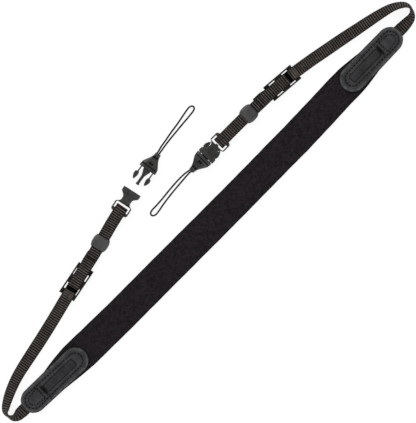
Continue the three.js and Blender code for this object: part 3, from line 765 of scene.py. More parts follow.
def distance_to_line(points, line):
    """Shortest distance from each point to any straight stretch of the line."""
    a, b = line[:-1][None], line[1:][None]
    step = b - a
    share = ((points[:, None] - a) * step).sum(2) / (step * step).sum(2)
    nearest = a + np.clip(share, 0, 1)[:, :, None] * step
    return np.linalg.norm(points[:, None] - nearest, axis=2).min(1)


def panel_distance(along, across):
    """Distance from the outline of the pressed panel, a rectangle with round corners; below
    0 inside it."""
    half = (PANEL["end"] - PANEL["start"]) / 2 - PANEL["corner"]
    dx = np.abs(along - (PANEL["start"] + PANEL["end"]) / 2) - half
    dy = np.abs(across) - (PANEL["half"] - PANEL["corner"])
    outside = np.hypot(np.maximum(dx, 0), np.maximum(dy, 0))
    return outside + np.minimum(np.maximum(dx, dy), 0) - PANEL["corner"]


# %% The tongue as rings of its outline
EDGE_ROUND = 0.45
RING_STEP = 0.33
GROOVES = {"outer": (0.3, 0.85), "inner": (0.22, 0.65), "cross": (0.26, 0.75)}  # depth, half width
# how dark the stitch grooves are painted, as shade
GROOVE_DARK = 0.45
# the pressed line's dark is painted shade in it
PRESSED = {"depth": 0.28, "half": 0.5, "dark": 0.85}  # the panel's outline
PANEL_SHADE = 0.28  # how dark the panel is inside it
# painted shade along the rolled edge: how dark, and how wide
OUTLINE_DARK = 0.9
OUTLINE_WIDE = 0.45
# the painted shade in the dip where the leather steps down past the webbing's end
STEP_DOWN = {"past_tail": 1.8, "half": 1.5, "across": 5.5, "dark": 0.85}
PUCKER = 0.05
PUCKER_FINENESS = 9


def tab_surface(side):
    """Columns run from the middle of the underside out to the edge, round it, and back over
    the face. The face is leather_top less a bell-shaped groove exp(-(d/w)^2) at each line.
    The shade sinks inside the panel, which is darker in itself, and is painted shade in the grooves, at
    the step and along the rolled edge."""
    start, axis, normal, length = tab_axes(side)
    place, angle, radius = (v[:, None] for v in stadium(length, OUTLINE_RADII, RING_STEP))
    turn = np.radians(np.linspace(0, 90, 5))
    roll_in = EDGE_ROUND * (1 - np.sin(turn))
    roll_down = EDGE_ROUND * (1 - np.cos(turn))
    face = np.arange(EDGE_ROUND + 0.3, OUTLINE_RADII[0], RING_STEP)
    full = OUTLINE_RADII[0]
    inset = np.concatenate([[full, 8, 5, 2, 1], roll_in, roll_in[::-1], face, [full]])
    drop = np.concatenate([np.zeros(5), roll_down, roll_down[::-1], 0 * face, [0]])
    upper = np.arange(len(inset)) >= 5 + len(turn)
    out_by = radius * (1 - inset / full)[None, :]
    along = place + out_by * np.cos(angle)
    across = out_by * np.sin(angle)
    flat = np.stack([along.ravel(), across.ravel()], axis=1)
    relief = np.zeros(len(flat))
    dark = np.zeros(len(flat))
    for label, line in sewing_lines(length).items():
        depth, reach = GROOVES[label]
        coarse = line[:: 4 if label == "outer" else 1]
        groove = np.exp(-((distance_to_line(flat, coarse) / reach) ** 2))
        relief -= depth * groove
        # painted shade in the stitch grooves
        dark = np.maximum(dark, GROOVE_DARK * groove)
    from_panel = panel_distance(flat[:, 0], flat[:, 1])
    pressed = np.exp(-((from_panel / PRESSED["half"]) ** 2))
    relief -= PRESSED["depth"] * pressed
    # painted shade in the pressed line round the panel
    dark = np.maximum(dark, PRESSED["dark"] * pressed)
    dark = np.maximum(dark, PANEL_SHADE * np.clip(0.5 - from_panel, 0, 1))
    puckers = PUCKER * unevenness(*(PUCKER_FINENESS * flat.T))
    relief = (relief + puckers).reshape(along.shape)
    face_z = leather_top(side, along, across)
    z = np.where(upper, face_z - drop + relief * (inset > EDGE_ROUND), face_z - LEATHER_THICK + drop)
    x = start[0] + along * axis[0] + across * normal[0]
    y = start[1] + along * axis[1] + across * normal[1]
    # painted shade in the dip past the webbing's end
    past_step = (along - WEB_TAIL - STEP_DOWN["past_tail"]) / STEP_DOWN["half"]
    step_down = np.exp(-(past_step**2) - (across / STEP_DOWN["across"]) ** 4)
    dark = np.maximum(dark.reshape(along.shape), STEP_DOWN["dark"] * step_down)
    # painted shade along the rolled edge
    outline_dark = OUTLINE_DARK * np.exp(-((inset / OUTLINE_WIDE) ** 2))
    dark = np.maximum(dark, outline_dark[None, :])
    shade = np.where(upper, 1 - dark, 0.4)
    # painted highlight on the flat border just inside the rolled edge
    wear_and_highlight = upper * np.exp(-(((inset[None, :] - 1.3) / 0.8) ** 2))
    uv = np.stack([along, across], axis=2)
    uv = np.concatenate([uv, uv[:1]], axis=0)
    return grid(np.stack([x, y, z], axis=2), uv, shade, wear_and_highlight, close_rows=True)


# %% [markdown]
# ## Stitches
# A stitch is a short fat grain of thread that dips into the leather at both ends. One grain
# is worked out once, with a few dozen faces, and repeated along every sewing line by adding
# its points to each stitch's own place and direction, all in a single array step.

# %% Grains of thread along a line
GRAIN_ROWS = 7
GRAIN_SIDES = 8
STITCH = {"outer": 3.0, "inner": 2.3, "share": 0.62, "wide": 1.5, "high": 0.36}  # two pitches


def stitches(places, headings, ups, length, width, height):
    """Point (u, a) of a grain lies u along it and, at angle a, sqrt(1 - u^2) of its half width
    to the side and of its height up; the whole sags by u^2 so that the ends go under."""
    u = np.linspace(-0.97, 0.97, GRAIN_ROWS)[:, None]
    angle = (2 * math.pi * np.arange(GRAIN_SIDES) / GRAIN_SIDES)[None, :]
    round_off = np.sqrt(1 - u * u)
    forward = u * length / 2 + 0 * angle
    sideways = round_off * width / 2 * np.cos(angle)
    upward = round_off * height * np.sin(angle) - height * u * u
    sides = unit(np.cross(ups, headings))
    pieces = (
        places[:, None, None, :]
        + forward[None, :, :, None] * headings[:, None, None, :]
        + sideways[None, :, :, None] * sides[:, None, None, :]
        + upward[None, :, :, None] * ups[:, None, None, :]
    )
    uv = np.stack(
        np.broadcast_arrays(u * length / 2, np.append(angle, 2 * math.pi)[None, :]), axis=2
    )
    return [grid(points, uv, close_columns=True, caps=True) for points in pieces]


def tab_stitches(side):
    """Stitches at an even pitch on each sewing line of a tongue, laid on its face."""
    start, axis, normal, length = tab_axes(side)
    made = []
    for label, line in sewing_lines(length).items():
        pitch = STITCH["outer"] if label == "outer" else STITCH["inner"]
        marks = even_steps(line, pitch)
        middle = (marks[1:] + marks[:-1]) / 2
        heading = unit(marks[1:] - marks[:-1])
        lift = leather_top(side, middle[:, 0], middle[:, 1]) - GROOVES[label][0] + 0.02
        ahead = leather_top(side, *(middle + 0.5 * heading).T)
        behind = leather_top(side, *(middle - 0.5 * heading).T)
        flat = middle[:, :1] * axis + middle[:, 1:] * normal + start
        flat_heading = heading[:, :1] * axis + heading[:, 1:] * normal
        places = np.hstack([flat, lift[:, None]])
        headings = unit(np.hstack([flat_heading, (ahead - behind)[:, None]]))
        ups = np.broadcast_to([0.0, 0.0, 1.0], headings.shape)
        made += stitches(places, headings, ups, pitch * STITCH["share"], STITCH["wide"], STITCH["high"])
    return made


for side in TABS:
    tongue = piece(
        f"leather_tab_{side}", [tab_surface(side)], finishes["leather"], [f"tab_{side}"]
    )
    thread = piece(f"tab_stitches_{side}", tab_stitches(side), finishes["thread"], [])

# %% [markdown]
# ## Webbing: where it goes
# Ten-millimetre webbing leaves the tongue, and its outer edge is pulled round more than its
# inner one, so it stands up like a little tent at the turn and then lies down again. Further
# on it is threaded: over and under the slider's bars, through the keeper, round the buckle's
# bar, back through the keeper and round the slider's middle bar, where its tail is sewn.

# %% Lines in plan, and the distances along them from the slider's middle
WEB_WIDTH = 10.0
ALONG = {"keeper": 37.6, "buckle": 66.2, "tail_end": 27.0}
SPINES = {
    "left": [
        (-134.0, 41.6), (-129.0, 42.8), (-114.7, 46.1), (-99.0, 49.6), (-90.0, 51.5),
        (-77.9, 54.5), (-70.0, 56.5), (-60.0, 59.1), (-49.8, 61.4), (-41.9, 62.9),
    ],
    "right": [
        (142.0, 38.3), (136.0, 39.3), (121.6, 40.7), (107.0, 41.7), (92.0, 42.2),
        (84.3, 42.4), (78.0, 42.6), (66.0, 42.7), (55.6, 42.7), (47.6, 42.8),
    ],
}
SLIDER_ROW = 2
# The turn: x, y, lift of the outer edge off the table, and how far it is banked, in degrees.
TURNS = {
    "left": [
        (-198.8, 2.1, 1.7, 0), (-209.0, 2.4, 1.7, 0), (-220.2, 2.4, 1.7, 0),
        (-224.0, 2.5, 0.8, 17), (-227.6, 2.7, 0.1, 33), (-231.0, 4.4, 0.1, 54),
        (-232.8, 7.6, 0.1, 73), (-232.8, 10.4, 0.1, 66), (-231.3, 12.9, 0.1, 54),
        (-227.5, 15.8, 0.1, 45), (-219.6, 20.0, 0.1, 34), (-209.5, 24.1, 0.1, 28),
        (-199.5, 27.0, 0.1, 23), (-186.0, 29.9, 0.1, 14), (-170.0, 33.2, 0.1, 5),
        (-155.0, 36.6, 0.2, 0), (-144.0, 39.2, 0.8, 0), (-137.0, 40.9, 2.1, 0),
    ],
    "right": [
        (199.5, 2.3, 1.7, 0), (209.5, 2.4, 1.7, 0), (220.8, 2.4, 1.7, 0),
        (225.0, 2.3, 0.8, 16), (229.5, 2.4, 0.2, 30), (234.0, 3.0, 0.1, 44),
        (237.6, 5.0, 0.1, 62), (239.7, 8.2, 0.1, 73), (239.8, 11.4, 0.1, 65),
        (238.0, 14.6, 0.1, 58), (233.3, 18.1, 0.1, 51), (227.2, 20.9, 0.1, 43),
        (217.6, 23.5, 0.1, 33), (207.6, 25.7, 0.1, 26), (196.0, 28.1, 0.1, 18),
        (180.0, 31.4, 0.1, 8), (165.0, 34.3, 0.2, 0), (152.0, 36.8, 0.8, 0),
        (144.5, 38.0, 2.1, 0),
    ],
}


def on_spine(side, along):
    """Points and headings in plan at distances along a spine from the slider's middle, going
    straight on past its end."""
    per_span = 48
    line = smooth_line(SPINES[side], per_span)
    way = travelled(line)
    wanted = np.atleast_1d(along) + way[SLIDER_ROW * per_span]
    heading = unit(np.gradient(line, axis=0))
    ahead = unit(np.stack([np.interp(wanted, way, c) for c in heading.T], axis=1))
    there = np.stack([np.interp(wanted, way, c) for c in line.T], axis=1)
    past = wanted - np.clip(wanted, way[0], way[-1])
    return there + past[:, None] * ahead, ahead


# %% Heights through slider, keeper and buckle: distance along, height of the band's middle
def half_turn(along, height, radius, side):
    """Half a circle about (along, height), from straight below it to straight above."""
    turn = np.radians(np.linspace(-90, 90, 8))
    return np.stack([along + side * radius * np.cos(turn), height + radius * np.sin(turn)], axis=1)


def threaded_route():
    """Over the far bar, under the middle and near bars, through the keeper, round the
    buckle's bar, back on top, round the middle bar and out over the near bar as the tail.
    Also gives how many of the rows are the tail's."""
    k, b, tail = ALONG["keeper"], ALONG["buckle"], ALONG["tail_end"]
    going = [
        (-15.2, 3.75), (-12.8, 3.8), (-9.9, 3.8), (-9.0, 3.55), (-8.2, 2.95), (-7.3, 2.05),
        (-6.5, 1.3), (-5.6, 0.8), (-4.2, 0.6), (6.0, 0.6), (18.0, 0.6), (tail, 0.6),
        (k - 8.5, 1.1), (k - 6.2, 1.9), (k, 1.9), (k + 6.2, 1.9), (k + 12, 1.3), (b - 6, 1.2),
        (b, 1.2),
    ]
    coming = [
        (b, 5.2), (b - 5, 4.9), (k + 14, 3.9), (k + 6.2, 3.4), (k, 3.4), (k - 6.2, 3.4),
        (tail, 3.6), (22.5, 3.6), (21.0, 3.7), (19.4, 4.25), (17.6, 5.05), (15.6, 5.3),
        (6.0, 5.3),
    ]
    tail_rows = [
        (3.6, 2.1), (5.4, 2.45), (7.6, 3.4), (9.2, 3.8), (15.3, 3.8), (17.0, 3.35),
        (18.6, 2.5), (20.2, 2.1), (tail, 2.1),
    ]
    round_buckle = half_turn(b + 4.6, 3.2, 2.0, 1)
    round_bar = half_turn(-3.6, 3.7, 1.6, -1)[::-1]
    return np.vstack([going, round_buckle, coming, round_bar, tail_rows]), len(tail_rows)


# %% The band's middle line and the direction across it
WEB_STEP = 0.25
TAIL_ASTRAY = {"left": 0.5, "right": -1.3}  # how far the sewn tail has slipped to one side
ROUNDING = 0.55  # how far the stiff band spreads each bend


def webbing_line(side):
    """Middle points of the band and unit vectors across it, at even steps. In the turn the
    middle rises by (width sin(bank) + thickness cos(bank)) / 2 over the outer edge."""
    inward = -1 if side == "left" else 1
    turn_rows = smooth_line(TURNS[side], 12, even=True)
    flat, lift, bank = turn_rows[:, :2], turn_rows[:, 2], np.radians(turn_rows[:, 3])
    heading = unit(np.gradient(flat, axis=0))
    rise = (WEB_WIDTH * np.sin(bank) + WEB_THICK * np.cos(bank)) / 2
    sideways = inward * np.stack([-heading[:, 1], heading[:, 0]], axis=1)
    turn_points = np.column_stack([flat, lift + rise])
    turn_across = np.column_stack([sideways * np.cos(bank)[:, None], np.sin(bank)])
    rows, tail_count = threaded_route()
    is_tail = np.arange(len(rows)) >= len(rows) - tail_count
    astray = TAIL_ASTRAY[side] * is_tail * np.clip((rows[:, 0] - 14.5) / 5, 0, 1)
    route = even_steps(rows, 0.5, extra=astray[:, None])
    flat, heading = on_spine(side, route[:, 0])
    flat = flat + route[:, 2:] * np.stack([-heading[:, 1], heading[:, 0]], axis=1)
    points = np.column_stack([flat, route[:, 1]])
    across = inward * np.column_stack([-heading[:, 1], heading[:, 0], 0 * route[:, 0]])
    whole = even_steps(
        np.vstack([turn_points, points]), WEB_STEP, extra=np.vstack([turn_across, across])
    )
    whole = soften(whole, ROUNDING / WEB_STEP)
    return whole[:, :3], unit(whole[:, 3:])


# %% [markdown]
# ## Webbing: its weave
# The webbing is woven with heavy cords laid across it, which show as ribs two millimetres
# apart with deep dark lines between, and with a flat dense selvedge at each edge. The ribs
# are big enough to see in the outline, so they are real relief here, and only the single
# threads on them are left to the material's bump.

# %% The ribbed band
RIB_PITCH = 2.0
RIB_DEPTH = 0.24
SELVEDGE = 0.8
SLIDER_MARKS = [(-7.5, 1.7), (-12.7, 2.9)]  # (middle, half length) of the dip and the flat
SELVEDGE_SWELL = 0.2  # how far the dense edge stands out beyond the nominal width
STRETCHED = 0.6  # how far the ribs are flattened over the far bar
SELVEDGE_SHADE = 0.38
# how dark the painted shadow is where the band dips behind the middle bar
DIP_DARK = 0.95
BAND_COLUMNS = 18
BAND_EDGE_POINTS = 4


def slider_marks(side, line):
    """Two masks along the band: in shadow where it dips behind the slider's middle bar, and
    stretched flat over the far bar, each exp(-((place - middle) / half length)^4)."""
    spot, heading = on_spine(side, 0.0)
    from_middle = line[:, :2] - spot[0]
    place = from_middle @ heading[0]
    near = np.abs(from_middle @ [-heading[0, 1], heading[0, 0]]) < WEB_WIDTH
    dip, over = (near * np.exp(-(((place - mid) / half) ** 4)) for mid, half in SLIDER_MARKS)
    return dip[:, None], over[:, None]


def ribbed_band(side, line, across):
    """A section carried along the line: half the thickness t less RIB_DEPTH (1 - rib), where
    rib = |sin(pi s / RIB_PITCH)|^0.8 at distance s, faded out over the two selvedges and
    flattened over the slider's far bar. The shade is rib^1.9, painted shade in the grooves,
    and near 0 in the painted shadow of the dip."""
    ahead = unit(np.gradient(line, axis=0))
    across = unit(across - (across * ahead).sum(1, keepdims=True) * ahead)
    normal = np.cross(ahead, across)
    way = travelled(line)[:, None]
    half, radius = WEB_WIDTH / 2 + SELVEDGE_SWELL, WEB_THICK / 2
    face = np.linspace(half - radius, radius - half, BAND_COLUMNS)
    turn = np.radians(np.linspace(90, -90, BAND_EDGE_POINTS + 2)[1:-1])
    bulge = half - radius + radius * np.cos(turn)
    wide = np.concatenate([face, -bulge, -face, bulge[::-1]])[None, :]
    raised = np.concatenate([1 + 0 * face, np.sin(turn), -1 + 0 * face, np.sin(turn)[::-1]])[None, :]
    dip, over = slider_marks(side, line)
    rib = np.abs(np.sin(math.pi * way / RIB_PITCH)) ** 0.8
    rib = rib + STRETCHED * over * (1 - rib)
    ribbed = np.clip((half - SELVEDGE - np.abs(wide)) / 0.5, 0, 1)
    depth = RIB_DEPTH * (1 - rib) * ribbed
    high = raised * (radius - 0.04 - depth)
    wide = wide * (1 - 0.012 * (1 - rib))
    points = line[:, None] + wide[:, :, None] * across[:, None] + high[:, :, None] * normal[:, None]
    # painted shade in the grooves between ribs and painted shadow in the dip; the selvedges' own darker
    # weave
    shade = np.where(ribbed > 0, rib**1.9, SELVEDGE_SHADE + 0.1 * rib) * (1 - DIP_DARK * dip)
    uv_wide = np.hstack([wide, wide[:, :1]])
    uv = np.stack(np.broadcast_arrays(way, uv_wide), axis=2)
    return grid(points, uv, shade, close_columns=True, caps=True)


# %% Bar tacks that hold the sewn tail
TACKS = {"rows": (22.4, 25.6), "half": 3.6, "count": 9}


def tail_tacks(side):
    """Two short rows of thread across the top layer, close together, above the sewn tail."""
    made = []
    for row in TACKS["rows"]:
        spot, heading = on_spine(side, row)
        across = np.array([-heading[0, 1], heading[0, 0], 0.0])
        offset = np.linspace(-TACKS["half"], TACKS["half"], TACKS["count"])[:, None]
        places = np.array([*spot[0], 3.6 + WEB_THICK / 2 - 0.1]) + offset * across
        headings = np.broadcast_to([*heading[0], 0.0], places.shape)
        ups = np.broadcast_to([0.0, 0.0, 1.0], places.shape)
        made += stitches(places, headings, ups, 1.9, 0.75, 0.26)
    return made


for side in SPINES:
    line, across = webbing_line(side)
    band = piece(
        f"ribbed_webbing_{side}",
        [ribbed_band(side, line, across)],
        finishes["webbing"],
        [f"webbing_{side}"],
    )
    tacks = piece(f"tail_tacks_{side}", tail_tacks(side), finishes["thread"], [])

# %% [markdown]
# ## Moulded pieces
# Sliders, keepers and buckles come out of a mould, so nothing on them is knife-sharp. Three
# shapes cover them all: a *plate*, which is an outline raised between two heights with its
# rims rounded; a *sleeve*, which is a domed ring with a flat slot through it; and a *hull*,
# a rounded section that changes along its length.

# %% Outlines
def mirrored(rows):
    """A table of (x, half width) as one closed outline, mirrored about the X axis."""
    rows = np.asarray(rows, float)
    lower = rows * [1, -1]
    return np.vstack([lower, rows[::-1]])


def box_outline(x0, x1, y0, y1):
    """A rectangle as a closed outline, counter-clockwise."""
    return np.array([(x0, y0), (x1, y0), (x1, y1), (x0, y1)], float)


def rounded(outline, reach, step=0.2):
    """A closed outline at even steps with its corners softened over about reach."""
    return soften(even_steps(outline, step, closed=True), reach / step, closed=True)


# %% Plates, open plates, sleeves and hulls
RIM_POINTS = 4
FLAT_RING = 1.3  # inset of the ring that keeps a wide face evenly lit, in rim radii
INSET_STEP = 0.1


def drawn_in(outline, distance):
    """The outline moved inwards by a distance (outwards below 0) in small steps, its points
    evened out after each, so that sharp corners melt away and never cross."""
    count = len(outline)
    times = max(1, round(abs(distance) / INSET_STEP))
    line = outline
    for _ in range(times):
        ahead = unit(np.roll(line, -1, axis=0) - np.roll(line, 1, axis=0))
        line = line - distance / times * np.stack([ahead[:, 1], -ahead[:, 0]], axis=1)
        loop = np.vstack([line, line[:1]])
        way = travelled(loop)
        places = np.arange(count) * way[-1] / count
        line = np.stack([np.interp(places, way, loop[:, axis]) for axis in (0, 1)], axis=1)
    return line


def rims(low, high, edge):
    """(inset, height, worn) from the bottom face round both rims to the top: a flat ring, a
    quarter circle, another, and a flat ring, so that the wide faces stay evenly lit."""
    turn = np.radians(np.linspace(0, 90, RIM_POINTS))
    inset = np.concatenate([[edge * FLAT_RING], edge * (1 - np.sin(turn))])
    rise = np.concatenate([[0], edge * (1 - np.cos(turn))])
    wear_and_highlight = np.concatenate([[0], np.sin(2 * turn)])
    return (
        np.concatenate([inset, inset[::-1]]),
        np.concatenate([low + rise, high - rise[::-1]]),
        np.concatenate([wear_and_highlight, wear_and_highlight[::-1]]),
    )


def plate(outline, low, high, edge=0.3, shade=1):
    """The outline drawn in by the rim's inset at each height, with flat faces on top and
    bottom."""
    inset, height, wear_and_highlight = rims(low, high, edge)
    flat = np.stack([drawn_in(outline, distance) for distance in inset])
    tall = np.broadcast_to(height[:, None, None], flat.shape[:2] + (1,))
    points = np.concatenate([flat, tall], axis=2)
    return grid(points, shade=shade, wear_and_highlight=wear_and_highlight[:, None], close_columns=True, caps=True)


def open_plate(outer, inner, low, high, edge=0.3):
    """A plate with a hole: the rim goes up the outer outline, over to the inner one with the
    same number of points, down it and back underneath, closed both ways."""
    count = max(len(outer), len(inner))
    middle = inner.mean(0)
    lines = []
    for line in (outer, inner):
        start = np.argmin(np.abs(np.arctan2(*(line - middle).T[::-1])))
        line = np.roll(line, -start, axis=0)
        around = travelled(np.vstack([line, line[:1]]))[-1]
        lines.append(even_steps(line, around / count, closed=True))
    outer, inner = (line[:count] for line in lines)
    rows, rub_and_highlight = [], []
    for line, hand in ((outer, 1), (inner, -1)):
        inset, height, wear_and_highlight = rims(low, high, edge)
        flat = np.stack([drawn_in(line, hand * distance) for distance in inset])
        tall = np.broadcast_to(height[:, None, None], flat.shape[:2] + (1,))
        rows.append(np.concatenate([flat, tall], axis=2)[::hand])
        rub_and_highlight.append(wear_and_highlight[::hand, None])
    wear_and_highlight = np.vstack(rub_and_highlight)
    return grid(np.vstack(rows), wear_and_highlight=wear_and_highlight, close_rows=True, close_columns=True)


def section(half, low, high, power, sides=72):
    """Round-cornered sections: sideways half |cos a|^power and up |sin a|^power of half the
    height, each with its sign, so that a small power squares the corners. The angle is drawn
    back by sin(4a) / 5, which keeps the points close together where a small power spreads them."""
    turn = 2 * math.pi * (np.arange(sides) + 0.5) / sides
    angle = turn - np.sin(4 * turn) / 5
    half, low, high = (np.atleast_1d(v)[:, None] for v in (half, low, high))
    side = np.sign(np.cos(angle)) * np.abs(np.cos(angle)) ** power
    up = np.sign(np.sin(angle)) * np.abs(np.sin(angle)) ** power
    return np.stack(np.broadcast_arrays(half * side, (low + high) / 2 + (high - low) / 2 * up), axis=2)


def sleeve(x, half, low, high, hole, power=0.42, lip=0.3, end_shade=0.35):
    """The outer section changes along x; the hole's stays the same. At both ends the wall
    turns inwards over a small lip, where shade is painted darker. Closed both ways, like a ring."""
    outer = section(half, low, high, power)
    shrink = section(half - lip, low + lip, high - lip, power)
    inner = section(hole["half"], hole["low"], hole["high"], 0.25)
    flare = section(hole["half"] + lip, hole["low"] - lip, hole["high"] + lip, 0.25)
    bore_x = np.linspace(x[-1] - lip, x[0] + lip, 6)
    rows = [shrink[:1], outer[1:-1], shrink[-1:], flare, np.repeat(inner, 6, axis=0), flare]
    places = np.concatenate([x, x[-1:], bore_x, x[:1]])
    sections = np.vstack(rows)
    flat = np.broadcast_to(places[:, None, None], sections.shape[:2] + (1,))
    from_end = np.minimum(places - x[0], x[-1] - places)
    # painted shade at both ends, where the wall turns in
    shade = end_shade + (1 - end_shade) * np.clip(from_end / 1.2, 0, 1)
    wear_and_highlight = 0.6 * np.exp(-(((from_end - 0.7) / 0.3) ** 2))
    points = np.concatenate([flat, sections], axis=2)
    masks = {"shade": shade[:, None], "wear_and_highlight": wear_and_highlight[:, None]}
    return grid(points, **masks, close_rows=True, close_columns=True)


def placed(surface, spot, turn):
    """A surface turned about Z and moved in plan, from its own place to the pad's."""
    c, s = math.cos(turn), math.sin(turn)
    x, y, z = surface["points"].T
    moved = np.stack([spot[0] + c * x - s * y, spot[1] + s * x + c * y, z], axis=1)
    return {**surface, "points": moved}


# %% [markdown]
# ## Sliders
# The length adjuster is a small ladder: two side rails, a low bar at each end and a higher
# one in the middle. The webbing hides most of it, so what shows is the rails, with bright
# slits beside the webbing, and the rail ends standing proud of it.

# %% The slider's rails and bars
SLIDER = {"half": 14.7, "wide": 7.35, "rail": 1.3, "slot_from": 3.9, "slot_to": 9.7}
SLIDER_SHADE = 0.4  # the ladder is the blackest of the moulded pieces
SLIDER_SKEW = {"left": math.radians(-2), "right": 0.0}


def slider_surfaces():
    """Rails are plates along X and bars are plates across, let a little into the rails."""
    half, wide, rail = SLIDER["half"], SLIDER["wide"], SLIDER["rail"]
    inside = wide - rail / 2
    made = []
    for hand in (-1, 1):
        low_y, high_y = sorted((hand * (wide - rail), hand * wide))
        rail_outline = rounded(box_outline(-half, half, low_y, high_y), 0.2)
        made.append(plate(rail_outline, 1.0, 4.4, 0.3, SLIDER_SHADE))
        near, far = sorted((hand * SLIDER["slot_to"], hand * (half - 0.15)))
        bar_outline = rounded(box_outline(near, far, -inside, inside), 0.2)
        made.append(plate(bar_outline, 1.5, 2.9, 0.35, SLIDER_SHADE))
    slot = SLIDER["slot_from"]
    middle_outline = rounded(box_outline(-slot, slot, -inside, inside), 0.2)
    made.append(plate(middle_outline, 3.0, 4.4, 0.4, SLIDER_SHADE))
    return made


def where(side, along, skew=0.0):
    """Place and turn of a moulded piece on a spine."""
    spot, heading = on_spine(side, along)
    return spot[0], math.atan2(heading[0, 1], heading[0, 0]) + skew


for side in SPINES:
    spot, turn = where(side, 0.0, SLIDER_SKEW[side])
    parts = [placed(part, spot, turn) for part in slider_surfaces()]
    slot_name = "moulded_plastic"
    piece(f"slider_{side}_ladder", parts, finishes[slot_name], [f"slider_{side}"])

# %% [markdown]
# ## Keepers
# The keeper is a soft domed loop that holds the two layers of webbing together. Seen from
# above it bulges at the sides, and its smooth face shows a broad even highlight.

# %% The keeper as a domed sleeve
KEEPER = {"length": 11.4, "end_half": 5.65, "mid_half": 7.15, "end_top": 5.2, "mid_top": 5.95}
KEEPER_HOLE = {"half": 5.05, "low": 1.0, "high": 4.3}


def keeper_surface():
    """Half width and top follow end + (mid - end)(1 - |u|^2.6) along it, u from -1 to 1."""
    u = np.linspace(-1, 1, 33)
    bulge = 1 - np.abs(u) ** 2.6
    half = KEEPER["end_half"] + (KEEPER["mid_half"] - KEEPER["end_half"]) * bulge
    top = KEEPER["end_top"] + (KEEPER["mid_top"] - KEEPER["end_top"]) * bulge
    return sleeve(u * KEEPER["length"] / 2, half, 0 * u, top, KEEPER_HOLE, lip=0.25)


for side in SPINES:
    spot, turn = where(side, ALONG["keeper"])
    parts = [placed(keeper_surface(), spot, turn)]
    piece(f"keeper_{side}_loop", parts, finishes["smooth_plastic"], [f"keeper_{side}"])

# %% [markdown]
# ## Buckle sockets
# The female half is a flat shell. A thin frame at one end takes the webbing round its bar; a
# solid neck leads to a waist where the prongs' barbs show at both sides; a collar closes the
# mouth. Its outline has the shape of a bow tie.

# %% The socket's outline and parts
SOCKET_ROWS = [
    (0.0, 6.2), (0.6, 7.2), (1.6, 7.7), (8.0, 7.7), (8.8, 7.1), (9.6, 5.5), (10.4, 4.4),
    (12.2, 4.1), (14.4, 4.2), (15.6, 4.9), (16.6, 6.0), (17.5, 7.3), (18.6, 8.0), (22.0, 8.0),
]
SOCKET = {"length": 22.0, "height": 6.6, "frame_low": 2.1, "frame_high": 4.3}
SOCKET_SLOT = (3.1, 8.6, 6.5)
SOCKET_MOUTH = {"half": 6.7, "low": 1.1, "high": 5.5}
COLLAR_STEP = 0.1  # how far the collar round the mouth stands over the waist


def socket_surfaces():
    """Frame: a plate with a slot. Neck: a full-height plate. Waist: an upper and a lower
    plate on the outline. Mouth: a sleeve."""
    rows = np.array(SOCKET_ROWS)
    start, end, half = SOCKET_SLOT
    frame_rows = np.vstack([rows[rows[:, 0] < 9], (9.6, 5.5), (11.0, 4.3)])
    frame_part = open_plate(
        rounded(mirrored(frame_rows), 0.35),
        rounded(box_outline(start, end, -half, half), 0.35),
        SOCKET["frame_low"],
        SOCKET["frame_high"],
        0.45,
    )
    waist_rows = np.vstack([(8.9, 5.6), rows[rows[:, 0] > 9]])
    waist = rounded(mirrored(waist_rows), 0.3)
    neck = rounded(mirrored(waist_rows[waist_rows[:, 0] < 12]), 0.3)
    mouth_x = np.linspace(17.8, SOCKET["length"], 13)
    mouth_half = np.interp(mouth_x, rows[:, 0], rows[:, 1])
    mouth = sleeve(mouth_x, mouth_half, 0 * mouth_x, 0 * mouth_x + 6.6, SOCKET_MOUTH, power=0.28)
    return [
        frame_part,
        plate(neck, 0.3, SOCKET["height"] - 0.3, 0.5),
        plate(waist, COLLAR_STEP, SOCKET_MOUTH["low"], 0.3),
        plate(waist, SOCKET_MOUTH["high"], SOCKET["height"] - COLLAR_STEP, 0.45),
        mouth,
    ]


for side in SPINES:
    spot, turn = where(side, ALONG["buckle"])
    parts = [placed(part, spot, turn) for part in socket_surfaces()]
    slot_name = "moulded_plastic"
    piece(f"socket_{side}_shell", parts, finishes[slot_name], [f"socket_{side}"])

# %% [markdown]
# ## Buckle prongs
# The male half is a tapering cap that the cord comes out of, a middle tongue that guides it
# into the socket, and two springy arms with barbed heads. The cap is a hull with a groove
# across its shoulder, two small pits on its face and two holes where the cord is held.

# %% The prong's sizes
CAP_ROWS = [
    (0.0, 7.8, 0.0, 6.6), (3.4, 7.8, 0.0, 6.6), (5.8, 6.7, 0.1, 6.3), (8.3, 5.1, 0.2, 5.8),
    (10.6, 3.7, 0.4, 5.2), (13.2, 2.7, 0.6, 4.4), (16.2, 2.4, 0.7, 4.0),
]
TONGUE_ROWS = [
    (-14.8, 1.5), (-13.4, 1.5), (-13.2, 1.2), (-6.5, 1.25), (-4.2, 1.9), (-1.5, 3.1), (0.6, 3.4),
]
BARB = [
    (0.6, 5.1), (-4.9, 5.0), (-5.6, 4.3), (-8.0, 4.0), (-11.4, 4.7), (-12.5, 5.5),
    (-11.1, 6.7), (-8.5, 7.8), (-5.7, 7.7), (-5.0, 6.2), (0.6, 6.1),
]
BARB_HEAD = slice(2, 9)  # the rows of the table round its head
BARB_RIM = {"low": 1.6, "floor": 4.6, "top": 5.0, "wide": 0.75}
PITS = [(5.9, 1.0, 1.0), (12.0, 0.85, 1.5)]  # place along, size, depth, in pairs
PIT_APART = 1.15  # of each from the middle line
SHOULDER_GROOVE = (3.0, 0.45, 0.5)  # place, half width, depth
# painted shade along the cap's open end, where it meets the socket
SHOULDER_EDGE = 0.6  # the dark line at the cap's open end
CAP_ROUND = 0.5
TONGUE = {"low": 2.4, "high": 3.6, "ribs_high": 4.1}


RIB = [(-13.0, 0.3), (-6.0, 0.4), (0.6, 1.7), (0.6, 2.6), (-5.0, 1.1), (-13.0, 0.8)]


